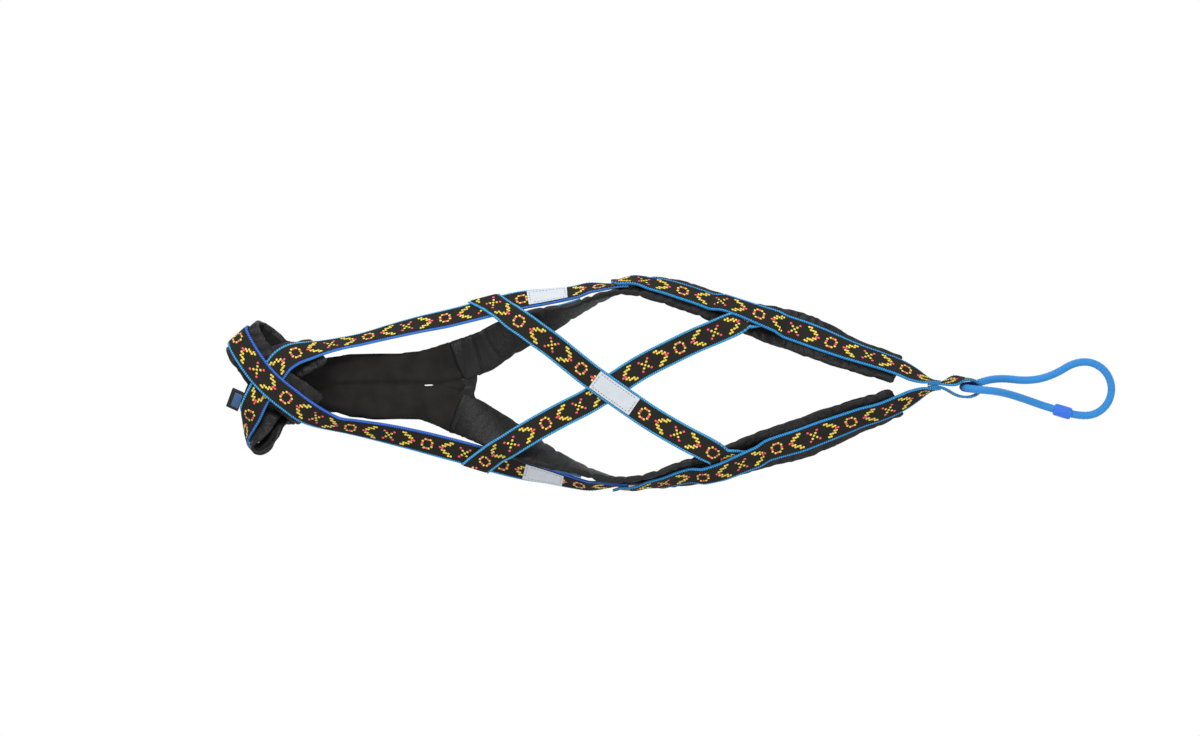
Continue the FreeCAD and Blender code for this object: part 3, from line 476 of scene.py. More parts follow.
def onBand(route, length, raised=None, aside=None):
    # raised, aside: marks (length, distance) of how far the band is moved off its route
    inside = min(max(length, 0.0), route.length)
    spot, ahead, side, normal = moved(route.frame(inside), eased(inside, aside),
                                      eased(inside, raised))
    return spot + ahead * (length - inside), ahead, side, normal


sweepStep = 3.0


def swept(name, route, start, end, section, finish, raised=None):
    # UV holds the length and the place across, in mm
    count = max(2, round((end - start) / sweepStep))
    verts, uvs = [], []
    for i in range(count + 1):
        length = start + (end - start) * i / count
        at = onBand(route, length, raised)
        for across, outward in section:
            verts.append(place(moved(at, across, outward)[0]))
            uvs.append((length, across))
    return madeObject(name, verts, tubeFaces(count + 1, len(section)), finish, 40, uvs)


def flatSection(width, thick, middle, corner=0.35):
    half, deep = width / 2, thick / 2
    top = [(corner - half, deep), (-half / 2, deep), (0, deep), (half / 2, deep),
           (half - corner, deep), (half, deep - corner), (half, corner - deep)]
    return [(across * turn, middle + outward * turn) for turn in (1, -1) for across, outward in top]


# small marks set on points: a Geometry Nodes group turns each into a rounded bead
def markGroup():
    group = bpy.data.node_groups.new("marks", "GeometryNodeTree")
    nodes, face = group.nodes, group.interface
    face.new_socket("Geometry", in_out="INPUT", socket_type="NodeSocketGeometry")
    sides = face.new_socket("Sides", in_out="INPUT", socket_type="NodeSocketInt")
    finish = face.new_socket("Finish", in_out="INPUT", socket_type="NodeSocketMaterial")
    face.new_socket("Geometry", in_out="OUTPUT", socket_type="NodeSocketGeometry")

    def named(kind, name):
        node = filled(nodes.new("GeometryNodeInputNamedAttribute"), {"Name": name})
        node.data_type = kind
        return next(socket for socket in node.outputs if socket.enabled)

    source, sink = nodes.new("NodeGroupInput"), nodes.new("NodeGroupOutput")
    bead = filled(nodes.new("GeometryNodeMeshUVSphere"), {"Rings": 5, "Radius": 1.0})
    smooth = nodes.new("GeometryNodeSetShadeSmooth")
    spread = nodes.new("GeometryNodeInstanceOnPoints")
    solid = nodes.new("GeometryNodeRealizeInstances")
    dress = nodes.new("GeometryNodeSetMaterial")
    for output, entry in (
            (source.outputs["Sides"], bead.inputs["Segments"]),
            (bead.outputs["Mesh"], smooth.inputs["Geometry"]),
            (source.outputs["Geometry"], spread.inputs["Points"]),
            (smooth.outputs["Geometry"], spread.inputs["Instance"]),
            (named("QUATERNION", "turn"), spread.inputs["Rotation"]),
            (named("FLOAT_VECTOR", "size"), spread.inputs["Scale"]),
            (spread.outputs["Instances"], solid.inputs["Geometry"]),
            (solid.outputs["Geometry"], dress.inputs["Geometry"]),
            (source.outputs["Finish"], dress.inputs["Material"]),
            (dress.outputs["Geometry"], sink.inputs["Geometry"])):
        group.links.new(output, entry)
    return group, sides.identifier, finish.identifier


marks, sidesInput, finishInput = markGroup()


def markedObject(name, entries, sides=8):
    # entries: (spot, ahead, side, normal, half sizes in mm, turn about the normal, colour)
    mesh = bpy.data.meshes.new(name)
    mesh.from_pydata([tuple(place(e[0])) for e in entries], [], [])
    for kind, form in (("turn", "QUATERNION"), ("size", "FLOAT_VECTOR"), ("tint", "FLOAT_COLOR")):
        mesh.attributes.new(kind, form, "POINT")
    turns, sizes, tints = (mesh.attributes[kind] for kind in ("turn", "size", "tint"))
    for i, (_, ahead, side, normal, half, angle, colour) in enumerate(entries):
        basis = Matrix((ahead, side, normal)).transposed().to_quaternion()
        turns.data[i].value = basis @ Quaternion((0, 0, 1), math.radians(angle))
        sizes.data[i].vector = [h / 1000 for h in half]
        tints.data[i].color = colour
    seed = added(name + "_points", mesh)
    grow = seed.modifiers.new("marks", "NODES")
    grow.node_group = marks
    grow[sidesInput] = sides
    grow[finishInput] = threadFinish
    baked = bpy.data.meshes.new_from_object(evaluated(seed))
    seed.modifiers.remove(grow)
    bpy.data.objects.remove(seed)
    return added(name, baked)


# woven motifs, one letter a bead: y yellow, c coral
motifs = {
    "chevron": ["yy....", ".yyy..", "...yy.", "....cc", "...yy.", ".yyy..", "yy...."],
    "rosette": [".ycy.", "y...y", "c...c", "y...y", ".ycy."],
    "cross": ["c...c", ".y.y.", "..y..", ".y.y.", "c...c"],
}
motifs["back"] = [row[::-1] for row in motifs["chevron"]]
pattern = {"order": ["chevron", "rosette", "back", "cross"], "pitch": 19.7, "lastBefore": 2,
           "beadPitch": 2.45, "bead": (1.45, 1.18, 0.3), "rise": 0.02, "clear": 1.2,
           "trimClear": 1, "jitter": 0.12, "shade": (0.88, 1.06), "turn": 7}


def motifBeads(name, route, start, end, raised, first):
    rng = random.Random(len(name) * 31 + first)
    entries, number = [], first
    length, top, clear = start + pattern["pitch"] / 2, stack + pattern["rise"], pattern["clear"]
    while length < end - pattern["lastBefore"]:
        rows = motifs[pattern["order"][number % len(pattern["order"])]]
        for r, row in enumerate(rows):
            for c, kind in enumerate(row):
                along = length + (c - (len(row) - 1) / 2) * pattern["beadPitch"]
                across = (r - (len(rows) - 1) / 2) * pattern["beadPitch"]
                if kind == "." or along < start + clear or along > end - clear:
                    continue
                along += rng.uniform(-1, 1) * pattern["jitter"]
                across += rng.uniform(-1, 1) * pattern["jitter"]
                tone = shaded(threads[kind], rng.uniform(*pattern["shade"]))
                entries.append((*moved(onBand(route, along, raised), across, top),
                                pattern["bead"], rng.uniform(-pattern["turn"], pattern["turn"]),
                                tone))
        length += pattern["pitch"]
        number += 1
    return entries


# slanted ribs of the two selvedges
selvedge = {"pitch": 2.2, "half": (0.84, 1.5, 0.85), "slant": 32.0, "inFromEdge": 1.25,
            "shade": 0.93, "vary": 0.14}


def selvedgeRibs(route, start, end, raised, plus, minus):
    entries = []
    count = round((end - start) / selvedge["pitch"])
    for colour, edge in ((plus, 1), (minus, -1)):
        across = edge * (strap["webbing"] / 2 - selvedge["inFromEdge"])
        for i in range(count):
            at = onBand(route, start + (i + 0.5) * (end - start) / count, raised)
            tone = shaded(blues[colour], selvedge["shade"] + selvedge["vary"] * ((i * 7) % 5) / 4)
            entries.append((*moved(at, across, strap["gap"] + strap["webbingThick"]),
                            selvedge["half"], edge * selvedge["slant"], tone))
    return entries


# back straps end flush with the outer edge of the shoulder strap that they are sewn on
trims = {"back_over": (rightShoulder, rightShoulder.atX(-119), -1),
         "back_under": (leftShoulder, leftShoulder.atX(-127), 1)}
wellInside = -99.0


def trimPlane(name):
    # a point of the outer edge, the way along it and the way out
    route, length, edge = trims[name]
    spot, ahead, side, _ = moved(route.frame(length), edge * strap["webbing"] / 2)
    return spot, ahead, side * edge


def beyond(name, spot):
    # how far a layout point is past the trim, in mm
    if name not in trims:
        return wellInside
    edge, ahead, out = trimPlane(name)
    near = abs((spot - edge).dot(ahead)) < 2 * strap["webbing"]
    return (spot - edge).dot(out) if near else wellInside


def trimmed(made, name):
    if name not in trims:
        return
    edge, _, out = trimPlane(name)
    mesh = bmesh.new()
    mesh.from_mesh(made.data)
    cut = bmesh.ops.bisect_plane(mesh, geom=mesh.verts[:] + mesh.edges[:] + mesh.faces[:],
                                 plane_co=place(edge), plane_no=out, clear_outer=True)
    rim = [e for e in cut["geom_cut"] if isinstance(e, bmesh.types.BMEdge)]
    bmesh.ops.holes_fill(mesh, edges=rim)
    mesh.to_mesh(made.data)
    mesh.free()


webbingSection = flatSection(strap["webbing"], strap["webbingThick"],
                             strap["gap"] + strap["webbingThick"] / 2)
ribbonSection = flatSection(strap["ribbon"], strap["ribbonThick"],
                            stack - strap["ribbonThick"] / 2, corner=0.2)
eyeRibbonInset = 13.5
for name, (route, start, end, raised, plus, minus, first) in bands.items():
    webbing = swept(f"{name}_tape", route, start, end, webbingSection, shadedWebbingFinish[minus], raised)
    a, b = (start, end) if name != "tail_eye" else (eyeRibbonInset, end - eyeRibbonInset)
    ribbon = swept(f"{name}_weave", route, a, b, ribbonSection, ribbonFinish, raised)
    trimmed(webbing, name)
    trimmed(ribbon, name)
    beads = markedObject(f"{name}_motifs", [
        e for e in motifBeads(name, route, a, b, raised, first)
        if beyond(name, e[0]) < -pattern["trimClear"]])
    ribs = markedObject(f"{name}_selvedge", [
        e for e in selvedgeRibs(route, start, end, raised, plus, minus)
        if beyond(name, e[0]) < 0])
    for piece, slot in ((webbing, "webbing_blue"), (ribbon, "ribbon_patterned"),
                        (beads, "ribbon_patterned"), (ribs, "webbing_blue")):
        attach(piece, "harness")
    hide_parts(f"{name}_webbing")
    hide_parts(f"{name}_ribbon")
print("straps ready")


# black stitch rows across the straps, where padding ends under them, and a tack at the fork
stitchRows = {"bead": (0.35, 0.95, 0.28), "pitch": 2.2, "rise": 0.05, "sideways": 4,
              "at": [(rightShoulder, -281), (rightShoulder, -283), (leftShoulder, -292),
                     (leftShoulder, -294), (rightSide, 288), (leftSide, 288)]}
forkTack = {"spot": (-177, -3.2, layer + padThick - 0.9), "skew": 0.03, "half": (5, 0.75, 0.5)}
entries = []
for route, x in stitchRows["at"]:
    mark = route.atX(x)
    for i in range(-stitchRows["sideways"], stitchRows["sideways"] + 1):
        at = moved(onBand(route, mark), i * stitchRows["pitch"], stack + stitchRows["rise"])
        entries.append((*at, stitchRows["bead"], 0, threads["black"]))
rows = markedObject("end_stitches", entries, sides=6)
tack = markedObject("fork_tack", [(forkTack["spot"], Vector((1, forkTack["skew"], 0)),
                                   Vector((-forkTack["skew"], 1, 0)), Vector((0, 0, 1)),
                                   forkTack["half"], 0, threads["white"])])
for piece in (rows, tack):
    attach(piece, "harness")


# cloth runs: the settings by their Blender names
clothLook = {"quality": 6, "mass": 0.2, "tension_stiffness": 12, "compression_stiffness": 8,
             "shear_stiffness": 5, "bending_stiffness": 0.08, "use_pressure": True,
             "uniform_pressure_force": 4.0, "vertex_group_mass": "held"}
clothFrames = 20


def swollen(pad, held, cap, loose=0.0):
    # held: how firmly each point stays, 0 to 1; cap: the farthest that a point moves, in mm
    group = pad.vertex_groups.new(name="held")
    for index, weight in enumerate(held):
        if weight > 0:
            group.add([index], weight, "REPLACE")
    before = [v.co.copy() for v in pad.data.vertices]
    cloth = pad.modifiers.new("swell", "CLOTH")
    for setting, value in clothLook.items():
        setattr(cloth.settings, setting, value)
    cloth.settings.shrink_min = loose
    cloth.settings.effector_weights.gravity = 0
    cloth.collision_settings.use_collision = False
    scene = bpy.context.scene
    for step in range(1, clothFrames + 1):
        scene.frame_set(step)
    after = [v.co.copy() for v in evaluated(pad).data.vertices]
    pad.modifiers.remove(cloth)
    scene.frame_set(1)
    for v, old, new, weight in zip(pad.data.vertices, before, after, held):
        move = (new - old) * (1 - weight)
        if move.length > cap / 1000:
            move *= cap / 1000 / move.length
        v.co = old + move
    pad.vertex_groups.clear()


def softened(pad):
    finer = pad.modifiers.new("finer", "SUBSURF")
    finer.levels = finer.render_levels = 1


def rumple(spot, scale):
    return noise.noise(Vector((spot.x * scale[0], spot.y * scale[1], spot.z * scale[2])))


# padding: a rounded section held flat under the webbing, swollen by a cloth run
# seam and flat: half widths at the stitch line and of the held part
# upper, middle, lower and bottom: heights that tell the faces of the section apart
# short and lap: how far a rounded end stays back and a joined end goes on
# wrap: where the UV of the underside goes on
padLook = {"step": 2.6, "cap": 2.6, "loose": -0.06, "seam": 12.7, "flat": 12.8, "upper": -3,
           "middle": -3.5, "lower": -5, "bottom": -6.5, "heldUnder": 0.35, "short": 0.6,
           "lap": 2.2, "wrap": 62, "bellyFade": 70, "curlFade": 5, "endThin": 0.65,
           "endNarrow": 0.05}
foldLook = {"first": 9, "slant": 0.35, "depth": (0.5, 1.0), "crease": 1.5, "half": 1.5}
puckerLook = {"depth": 0.45, "fade": 4, "under": 0.3, "folds": (0.17, 0.17, 0.12),
              "foldShare": 1.6, "fine": (0.42, 0.42, 0.3)}


def mirrored(points):
    return [(-across, outward) for across, outward in points]


padTop = [(20.6, -2.6), (19.9, -1.3), (18.3, -0.75), (16.2, -0.6), (14.2, -0.7),
          (padLook["seam"], -0.85), (9, -0.35), (4.5, -0.2)]
padUnder = [(20.6, -4.6), (19.6, -6.0), (17, -6.6), (12, -6.8), (6, -6.8)]
padSection = (mirrored(padTop) + [(0, -0.2)] + padTop[::-1]
              + padUnder + [(0, -6.8)] + mirrored(padUnder[::-1]))


def faded(share, pinch):
    # 1 where pinch is 1, and less by this share where it is 0
    return 1 - share + share * pinch


def endPinch(gap, turn):
    # 0 at a rounded end, 1 from the length of its rounding on
    return math.sqrt(max(0.0, 1 - (1 - gap / turn) ** 2)) if turn and gap < turn else 1.0


def bandPad(name, route, start, end, rounds, creases, dropped=None, aside=None, cap=None,
            deep=1.0, belly=0.0, borders=(1.0, 1.0), curl=None):
    # rounds: how far each end is rounded off, in mm; 0 where it meets the next pad
    # creases: least and greatest spacing of the cross folds; deep: share of their depth
    # belly: how far the underside bulges; borders: width shares of the - and + borders
    # dropped, aside, curl: marks (length, distance); curl lifts the + border
    ring, middle, flatHalf = len(padSection), padLook["middle"], padLook["flat"]
    rng = random.Random(len(name) * 17)
    folds, mark = [], start + foldLook["first"]
    while mark < end:
        folds.append((mark, rng.uniform(-foldLook["slant"], foldLook["slant"]),
                      rng.uniform(*foldLook["depth"])))
        mark += rng.uniform(*creases)
    start += padLook["short"] if rounds[0] else -padLook["lap"]
    end -= padLook["short"] if rounds[1] else -padLook["lap"]
    count = round((end - start) / padLook["step"])
    verts, uvs, held = [], [], []
    for i in range(count + 1):
        length = start + (end - start) * i / count
        pinch = endPinch(length - start, rounds[0]) * endPinch(end - length, rounds[1])
        at = onBand(route, length, dropped, aside)
        for across, outward in padSection:
            flat = abs(across) <= flatHalf
            wide, border = across, abs(across) - padLook["seam"]
            if border > 0:
                wide = math.copysign(padLook["seam"] + border * borders[across > 0], across)
            if outward < padLook["lower"]:
                outward -= (belly * (1 - (across / (padWide / 2)) ** 2)
                            * min(1.0, (end - length) / padLook["bellyFade"]))
            for fold, slant, depth in folds:
                off = (length - fold + slant * across) / foldLook["half"]
                if not (flat and outward > padLook["upper"]):
                    outward += (1 if outward < middle else -1) * (
                        foldLook["crease"] * deep * depth * math.exp(-off ** 2))
            outward = middle + (outward - middle) * faded(padLook["endThin"], pinch)
            if across > flatHalf:
                outward += eased(length, curl) * min(1.0, (across - flatHalf) / padLook["curlFade"])
            verts.append(place(moved(at, wide * faded(padLook["endNarrow"], pinch), outward)[0]))
            uvs.append((length, across if outward > padLook["lower"] else padLook["wrap"] - across))
            held.append(1.0 if flat and outward > padLook["upper"]
                        else padLook["heldUnder"] if outward < padLook["bottom"] else 0.0)
    # each end is closed by strips between the upper and the lower side
    ends = [(base + j, base + j + 1, base + ring - 2 - j, base + ring - 1 - j)
            for base in (0, count * ring) for j in range(ring // 2 - 1)]
    made = madeObject(f"{name}_padding", verts, tubeFaces(count + 1, ring)[:-2] + ends,
                      nylonFinish, 80, uvs)
    swollen(made, held, cap or padLook["cap"], padLook["loose"])
    puckered(made, ring)
    made.data.materials.append(nylonFinish if belly else fleeceFinish)
    for face in made.data.polygons:
        corners = [padSection[k % ring] for k in face.vertices]
        if all(outward < padLook["bottom"] for _, outward in corners):
            face.material_index = 1
    softened(made)
    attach(made, "harness")
    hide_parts(f"{name}_pad_shell", f"{name}_pad_foam", f"{name}_pad_lining")


def puckered(made, ring):
    # the sewn borders gather in short folds that fade out under the webbing
    normals = [v.normal.copy() for v in made.data.vertices]
    for v, normal in zip(made.data.vertices, normals):
        across, outward = padSection[v.index % ring]
        border = min(1.0, max(0.0, (abs(across) - padLook["flat"]) / puckerLook["fade"]))
        if outward < padLook["bottom"]:
            border = puckerLook["under"]
        spot = v.co * 1000
        fold = (rumple(spot, puckerLook["folds"]) * puckerLook["foldShare"]
                + rumple(spot, puckerLook["fine"]))
        v.co += normal * border * puckerLook["depth"] * fold / 1000


def beside(mark, places):
    return [(mark + ahead, distance) for ahead, distance in places]


joint = 0.6
underRight = stack + 8 * strap["gap"]
underLeft = padThick + 9 * strap["gap"]
neckStart = rightShoulder.atX(-284)
neckFold = rightShoulder.near((-346.5, -67.6, 17.5))
padRuns = {}
for side, route in (("right", rightLeg), ("left", leftLeg)):
    padRuns[f"{side}_leg"] = dict(route=route, start=route.atX(-151.5), end=route.length,
                                  rounds=(2.5, 0), creases=(13, 22), belly=3.4)
for side, route in (("right", rightSide), ("left", leftSide)):
    padRuns[f"{side}_side"] = dict(route=route, start=joint, end=route.atX(292), rounds=(0, 3),
                                   creases=(9, 20), deep=0.55)
necks = dict(rounds=(2, 2), creases=(8, 15), cap=4.0)
padRuns["right_neck"] = dict(
    necks, route=leftShoulder, start=leftShoulder.atX(-293), end=leftShoulder.length,
    borders=(1.3, 0.5), dropped=beside(crossingLeft, (
        (-44, 0), (-24, -underRight), (20, -underRight), (38, 0))))
padRuns["left_neck"] = dict(
    necks, route=rightShoulder, start=neckStart, end=rightShoulder.length,
    dropped=[(neckStart, 0)] + beside(crossingRight, (
        (-30, -underLeft), (12, -underLeft), (24, -underLeft - 2.2), (36, -4.5), (52, 0))),
    aside=beside(crossingRight, ((-6, 0), (10, 6.5), (24, 6.5), (40, 3.5), (60, 4.5)))
    + beside(rightShoulder.length, ((-50, 4.5), (-10, 0))),
    curl=beside(neckFold, ((-14, 0), (-2, 5), (16, 5), (34, 0))))
for name, run in padRuns.items():
    bandPad(name, **run)
print("band pads ready")


# chest pad: cut to its outline, remeshed and swollen, with lengthwise and short seams pressed in
chest = [(-329.6, -2.8), (-310, 23.5), (-296, 23), (-276, 24.5), (-256, 28), (-231, 28.7),
         (-206, 28.8), (-186, 31), (-171, 35.5), (-155.9, 39.8), (-140.2, 1.2), (-139.2, -11.2),
         (-156.8, -49.3), (-171, -43), (-186, -37), (-206, -36.6), (-231, -37.3), (-256, -34.5),
         (-276, -28), (-290, -26), (-305, -33)]
# seams: where each starts and ends, how far it bows to the side, and its depth and half width
chestSeams = [((-316, -5), (-172, -3), -1, 3.0, 3.2), ((-172, -3), (-139, 2), 0, 3.4, 2.2),
              ((-172, -3), (-138, -12), 0, 3.4, 2.2), ((-184, -6), (-176, -42), 4, 1.5, 1.8),
              ((-186, 22), (-178, 36), 2, 0.8, 1.6)]
chestLook = {"voxel": 2.4, "cap": 1.6, "grow": 0.9, "clear": 0.5, "sunk": 0.6, "held": 0.35,
             "heldBelow": 1, "seamsAbove": 4, "runOut": 0.04, "rumple": 0.7,
             "folds": (0.05, 0.11, 0)}
gussetLook = {"voxel": 1.6, "bottom": 1.5, "top": 5, "rumple": 0.9, "folds": (0.13, 0.2, 0)}


def slab(name, outline, bottom, top, finish):
    count = len(outline)
    verts = [place((x, y, z)) for z in (bottom, top) for x, y in outline]
    faces = [tuple(range(count)), tuple(range(count, 2 * count))[::-1]]
    faces += [(i, (i + 1) % count, count + (i + 1) % count, count + i) for i in range(count)]
    return madeObject(name, verts, faces, finish, 30)


def remeshed(made, voxel):
    coarse = made.modifiers.new("voxels", "REMESH")
    coarse.mode = "VOXEL"
    coarse.voxel_size = voxel / 1000
    coarse.use_smooth_shade = True
    baked = bpy.data.meshes.new_from_object(evaluated(made))
    made.modifiers.remove(coarse)
    finish = made.data.materials[0]
    made.data = baked
    if not baked.materials:
        baked.materials.append(finish)


def grown(outline, distance):
    result = []
    for i, corner in enumerate(outline):
        before, after = outline[i - 1], outline[(i + 1) % len(outline)]
        a = unit(Vector((corner[0] - before[0], corner[1] - before[1])))
        b = unit(Vector((after[0] - corner[0], after[1] - corner[1])))
        outA, outB = Vector((-a.y, a.x)), Vector((-b.y, b.x))
        reach = (outA + outB) * (distance / (1 + outA.dot(outB)))
        result.append((corner[0] + reach.x, corner[1] + reach.y))
    return result


def pressed(spot, start, end, bow, depth, half):
    # how far a seam, which runs out just past its ends, draws the face in at a layout point
    start, run = Vector(start), Vector(end) - Vector(start)
    t = (spot.xy - start).dot(run) / run.length_squared
    off = (spot.xy - start).cross(run) / run.length - bow * 4 * t * (1 - t)
    inside = -chestLook["runOut"] < t < 1 + chestLook["runOut"]
    return depth * math.exp(-(off / half) ** 2) if inside else 0.0


chestPad = slab("chest_padding", grown(chest, chestLook["grow"]), layer + chestLook["clear"],
                layer + padThick - chestLook["sunk"], fleeceFinish)
remeshed(chestPad, chestLook["voxel"])
swollen(chestPad, [chestLook["held"] if layoutOf(v).z < layer + chestLook["heldBelow"] else 0.0
                   for v in chestPad.data.vertices], chestLook["cap"])
for v in chestPad.data.vertices:
    spot = layoutOf(v)
    if spot.z >= layer + chestLook["seamsAbove"]:
        press = max(pressed(spot, *seam) for seam in chestSeams)
        v.co.z += (rumple(spot, chestLook["folds"]) * chestLook["rumple"] - press) / 1000
softened(chestPad)
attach(chestPad, "harness")
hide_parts("chest_pad_shell", "chest_pad_foam", "chest_pad_lining")

gusset = slab("gusset_fleece", [(-146, 5.5), (-131, 12.5), (-128.2, 5), (-129.3, -3),
                                (-131.5, -12), (-128.5, -20.5), (-146, -14.5)],
              layer + gussetLook["bottom"], layer + gussetLook["top"], nylonFinish)
remeshed(gusset, gussetLook["voxel"])
for v in gusset.data.vertices:
    v.co.z += gussetLook["rumple"] * rumple(layoutOf(v), gussetLook["folds"]) / 1000
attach(gusset, "harness")
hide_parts("chest_gusset")
print("chest ready")


# reflective patches with a frame of dark stitches
patchLook = {"width": 20.0, "thick": 0.6, "corner": 0.15, "inset": 2.2,
             "stitch": (1.1, 0.35, 0.2), "pitch": 3.3}
patches = {
    "back": (backOver, backOver.atX(8), 49.0, "back_reflector"),
    "right": (rightShoulder, rightShoulder.atX(-58), 40.0, "right_reflector"),
    "left": (leftShoulder, leftShoulder.atX(-62), 40.0, "left_reflector"),
}
patchSection = flatSection(patchLook["width"], patchLook["thick"], layer + patchLook["thick"] / 2,
                           patchLook["corner"])
for name, (route, middle, long, node) in patches.items():
    start, end = middle - long / 2, middle + long / 2
    patch = swept(f"{name}_patch", route, start, end, patchSection, reflectiveFinish)
    pitch, halfWide = patchLook["pitch"], patchLook["width"] / 2 - patchLook["inset"]
    along = long - 2 * patchLook["inset"]
    places = []
    for edge in (-1, 1):
        places += [(start + patchLook["inset"] + (i + 0.5) * pitch, edge * halfWide, 0)
                   for i in range(int(along / pitch))]
        places += [(middle + edge * along / 2, -halfWide + (i + 0.5) * pitch, 90)
                   for i in range(int(2 * halfWide / pitch))]
    stitches = markedObject(f"{name}_patch_stitches", [
        (*moved(onBand(route, length), across, layer + patchLook["thick"]),
         patchLook["stitch"], turn, threads["grey"]) for length, across, turn in places],
        sides=6)
    for piece in (patch, stitches):
        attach(piece, "harness")
    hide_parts(node)
print("patches ready")


# label tab: a folded tape with a plain woven panel
tabLook = {"reach": 13.0, "length": 21.0, "thick": 1.8, "corner": 0.8, "bevel": 0.25,
           "gap": 0.35, "fromCrossing": 28.0}
panelLook = {"reach": 8.0, "length": 15.0, "thick": 0.42, "corner": 0.4, "out": 1.8, "rise": 0.25}


def tabSlab(name, at, look, finish):
    spot, ahead, side, normal = at
    corner, bevel, top = look["corner"], tabLook["bevel"], look["thick"] / 2
    ring = []
    for cx, cy, first in ((1, 1, 0), (-1, 1, 90), (-1, -1, 180), (1, -1, 270)):
        for step in range(4):
            t = math.radians(first + step * 30)
            ring.append((cx * (look["reach"] / 2 - corner) + corner * math.cos(t),
                         cy * (look["length"] / 2 - corner) + corner * math.sin(t)))
    verts = [place(spot + side * (a - math.copysign(shrink, a))
                   + ahead * (b - math.copysign(shrink, b)) + normal * z)
             for z, shrink in ((-top, bevel), (bevel - top, 0), (top - bevel, 0), (top, bevel))
             for a, b in ring]
    return madeObject(name, verts, tubeFaces(4, len(ring)), finish, 50)


seam = rightShoulder.frame(crossingRight + tabLook["fromCrossing"])
tabMiddle = moved(seam, -strap["webbing"] / 2 - tabLook["gap"] - tabLook["reach"] / 2,
                  strap["gap"] + strap["webbingThick"] / 2)
tab = tabSlab("label_fold", tabMiddle, tabLook, tapeFinish)
panel = tabSlab("label_weave",
                moved(tabMiddle, panelLook["out"], tabLook["thick"] / 2 + panelLook["rise"]),
                panelLook, panelFinish)
for piece, slot, node in ((tab, "tab_black", "label_tab"), (panel, "tab_blue", "label_panel")):
    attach(piece, "label_tab")
    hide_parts(node)
print("label tab ready")


# tail rope: a core with sixteen strands plaited over it, along a spline through the route's corners
ropeLook = {"diameter": 8.0, "strandAt": 3.0, "weave": 0.42, "strand": (1.25, 0.72),
            "eachWay": 8, "turn": 30.0, "step": 1.3, "core": 2.9, "clear": 0.45}
pivot = Vector((373, -6, eyeMiddle))
bight = (math.hypot(strap["webbing"] / 2, stack / 2) + ropeLook["clear"]
         + ropeLook["diameter"] / 2)


def bightPoints():
    # corners 36 degrees apart, so far out that the spline between them keeps to the bight
    corner = bight / math.cos(math.radians(18))
    drift = ((108, -7.3), (144, -6.2), (180, -5), (216, -3.8), (252, -2.6))
    return [(pivot.x + corner * math.cos(math.radians(turn)), y,
             pivot.z + corner * math.sin(math.radians(turn))) for turn, y in drift]


ropeRoute = ([(456, -29.5, 6.5), (440, -24.8, 6.5), (427, -20.3, 9.5), (414.5, -16, 16),
              (402, -12.2, 24.5), (391.5, -9.8, 33), (381, -8.4, pivot.z + bight)]
             + bightPoints()
             + [(383, 2.6, 4.4), (399, 3.6, 4.2), (416, 1.4, 4.2), (433, 2.6, 4.2),
                (450, 8.5, 4.2), (467.4, 19.3, 4.2), (484.9, 20.6, 4.2), (499.8, 11.3, 4.2),
                (506.3, -5, 4.2), (502.1, -22.1, 4.6), (488.6, -33, 5.6), (471.1, -33.9, 6.5),
                (456.4, -29.6, 6.5)])
line = bpy.data.curves.new("rope_line", "CURVE")
line.dimensions = "3D"
line.resolution_u = 16
spline = line.splines.new("NURBS")
spline.points.add(len(ropeRoute) - 1)
for point, corner in zip(spline.points, ropeRoute):
    point.co = (*place(corner), 1.0)
spline.order_u = 3
spline.use_endpoint_u = True
lineObject = added("rope_line", line)
path = [v.co.copy() for v in bpy.data.meshes.new_from_object(evaluated(lineObject)).vertices]
bpy.data.objects.remove(lineObject)


def evenly(points, step):
    result, rest = [points[0]], step
    for a, b in zip(points, points[1:]):
        reach = (b - a).length
        while rest <= reach:
            result.append(a.lerp(b, rest / reach))
            rest += step
        rest -= reach
    result.append(points[-1])
    return result


path = evenly(path, ropeLook["step"] / 1000)
ways = [unit(path[min(i + 1, len(path) - 1)] - path[max(i - 1, 0)]) for i in range(len(path))]
rims = [unit(ways[0].cross(Vector((0, 0, 1))))]
for way in ways[1:]:
    rims.append(unit(rims[-1] - way * rims[-1].dot(way)))


def alongRope(angleAt, radiusAt, half, sides=6):
    # a flattened strand that winds round the centreline
    verts = []
    for i, (point, way, rim) in enumerate(zip(path, ways, rims)):
        other = way.cross(rim)
        angle = angleAt(i)
        out = rim * math.cos(angle) + other * math.sin(angle)
        around = other * math.cos(angle) - rim * math.sin(angle)
        middle = point + out * radiusAt(i) / 1000
        for s in range(sides):
            t = 2 * math.pi * s / sides
            verts.append(middle + around * half[0] * math.cos(t) / 1000
                         + out * half[1] * math.sin(t) / 1000)
    return verts, tubeFaces(len(path), sides)


def turning(i):
    return 2 * math.pi * i * ropeLook["step"] / ropeLook["turn"]


verts, faces = alongRope(lambda i: 0.0, lambda i: 0.0, (ropeLook["core"], ropeLook["core"]),
                         sides=12)
strands = ropeLook["eachWay"]
for way in (1, -1):
    for strand in range(strands):
        first = 2 * math.pi * strand / strands
        more, sheets = alongRope(
            lambda i: first + way * turning(i),
            lambda i: ropeLook["strandAt"] + way * ropeLook["weave"] * math.cos(strands * turning(i)),
            ropeLook["strand"])
        faces += [tuple(v + len(verts) for v in face) for face in sheets]
        verts += more
ropeFinish = plainMaterial("braid", blues["rope"], roughness=0.6, sheen=0.2,
                           grain=(1500.0, 0.5, 0.0003))
rope = madeObject("tail_rope_braid", verts, faces, ropeFinish, 80)

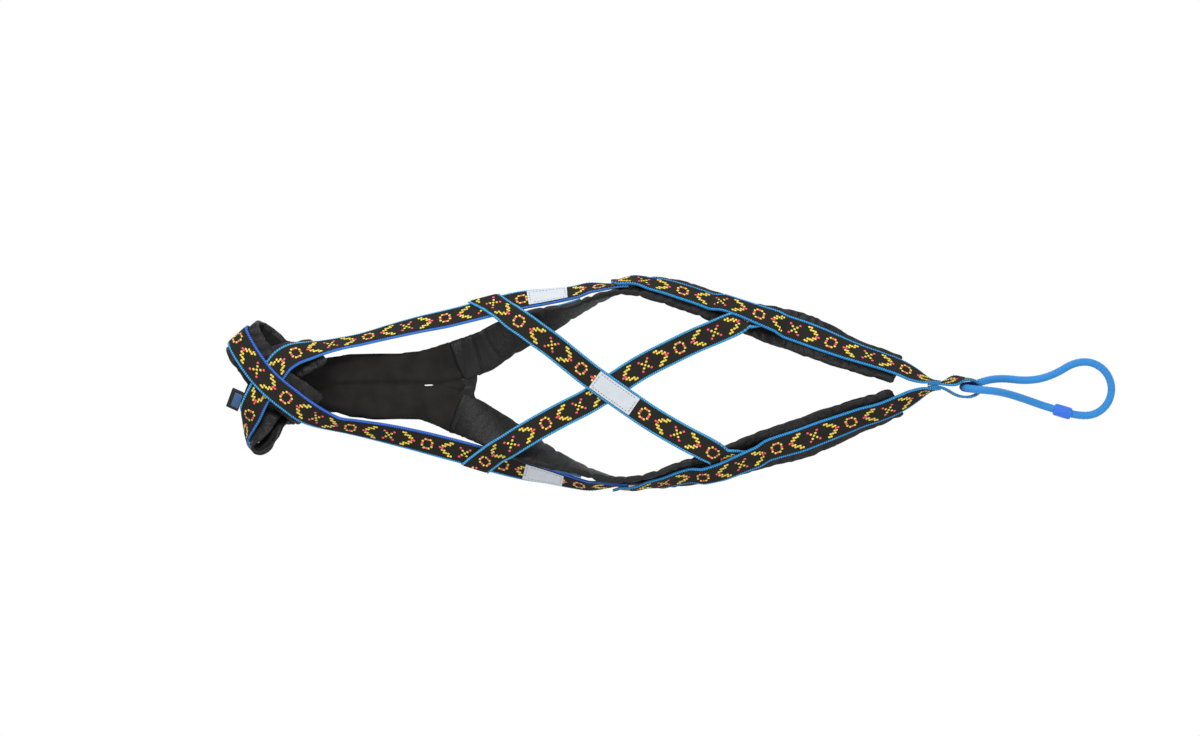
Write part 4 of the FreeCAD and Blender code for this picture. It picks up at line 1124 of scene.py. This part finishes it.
# whipping over the splice: ridges of twine, rounded off at the ends
whipLook = {"diameter": 12.5, "length": 18.0, "pitch": 1.5, "ridge": 0.45, "sides": 28,
            "perRidge": 6, "endShare": 9, "drawnIn": 0.22}
ahead = ways[0]
other = ahead.cross(rims[0])
start = path[0] - ahead * whipLook["length"] / 2000
verts, sides = [], whipLook["sides"]
rows = int(whipLook["length"] / whipLook["pitch"] * whipLook["perRidge"])
for i in range(rows + 1):
    t = i / rows
    ridge = abs(math.sin(math.pi * t * whipLook["length"] / whipLook["pitch"]))
    end = min(1.0, min(t, 1 - t) * whipLook["endShare"])
    radius = ((whipLook["diameter"] / 2 - whipLook["ridge"] + whipLook["ridge"] * ridge)
              * faded(whipLook["drawnIn"], math.sqrt(end)))
    for s in range(sides):
        a = 2 * math.pi * s / sides
        verts.append(start + ahead * t * whipLook["length"] / 1000
                     + (rims[0] * math.cos(a) + other * math.sin(a)) * radius / 1000)
splice = madeObject("splice_whipping", verts, tubeFaces(rows + 1, sides),
                    plainMaterial("whipping", blues["royal"], roughness=0.5), 60)
for piece, slot, node in ((rope, "rope_blue", "tail_rope"),
                          (splice, "splice_blue", "tail_rope_splice")):
    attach(piece, "tail_rope")
    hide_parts(node)


# floor, light and camera
view = {"centre": (-6, 14), "width": 1200.0, "lens": 180.0, "sensor": 36, "floor": 4, "sky": 0.55,
        "clipEnd": 50}
centre = place((*view["centre"], 0))
distance = view["width"] / 1000 * view["lens"] / view["sensor"]
floorMesh = bpy.data.meshes.new("floor")
floorMesh.from_pydata([(x * view["floor"], y * view["floor"], 0)
                       for x, y in ((-1, -1), (1, -1), (1, 1), (-1, 1))], [], [(0, 1, 2, 3)])
floor = added("floor", floorMesh)
pale = Finish("floor", (0.9, 0.9, 0.9, 1), roughness=0.9)
light, seen = pale.nodes.new("ShaderNodeEmission"), pale.nodes.new("ShaderNodeLightPath")
blend = pale.nodes.new("ShaderNodeMixShader")
pale.links.new(seen.outputs["Is Camera Ray"], blend.inputs[0])
pale.links.new(pale.shader.outputs[0], blend.inputs[1])
pale.links.new(light.outputs[0], blend.inputs[2])
pale.links.new(blend.outputs[0], pale.nodes["Material Output"].inputs["Surface"])
floorMesh.materials.append(pale.made)

world = bpy.data.worlds.new("world")
bpy.context.scene.world = world
world.use_nodes = True
filled(world.node_tree.nodes["Background"], {"Color": (1, 1, 1, 1), "Strength": view["sky"]})


def softbox(name, spot, size, power):
    lamp = bpy.data.lights.new(name, "AREA")
    lamp.shape, lamp.size, lamp.energy = "SQUARE", size, power
    holder = added(name, lamp)
    holder.location = spot
    holder.rotation_euler = (Vector((0, 0, 0)) - Vector(spot)).to_track_quat("-Z", "Y").to_euler()


softbox("key", (-0.5, 1.5, 1.4), 1.0, 38)
softbox("fill", (1.0, -1.2, 1.6), 1.6, 24)
camera = added("camera", bpy.data.cameras.new("camera"))
camera.data.lens = view["lens"]
camera.data.clip_end = view["clipEnd"]
camera.location = (centre.x, centre.y, distance)
bpy.context.scene.camera = camera
bpy.context.scene.view_settings.view_transform = "Standard"
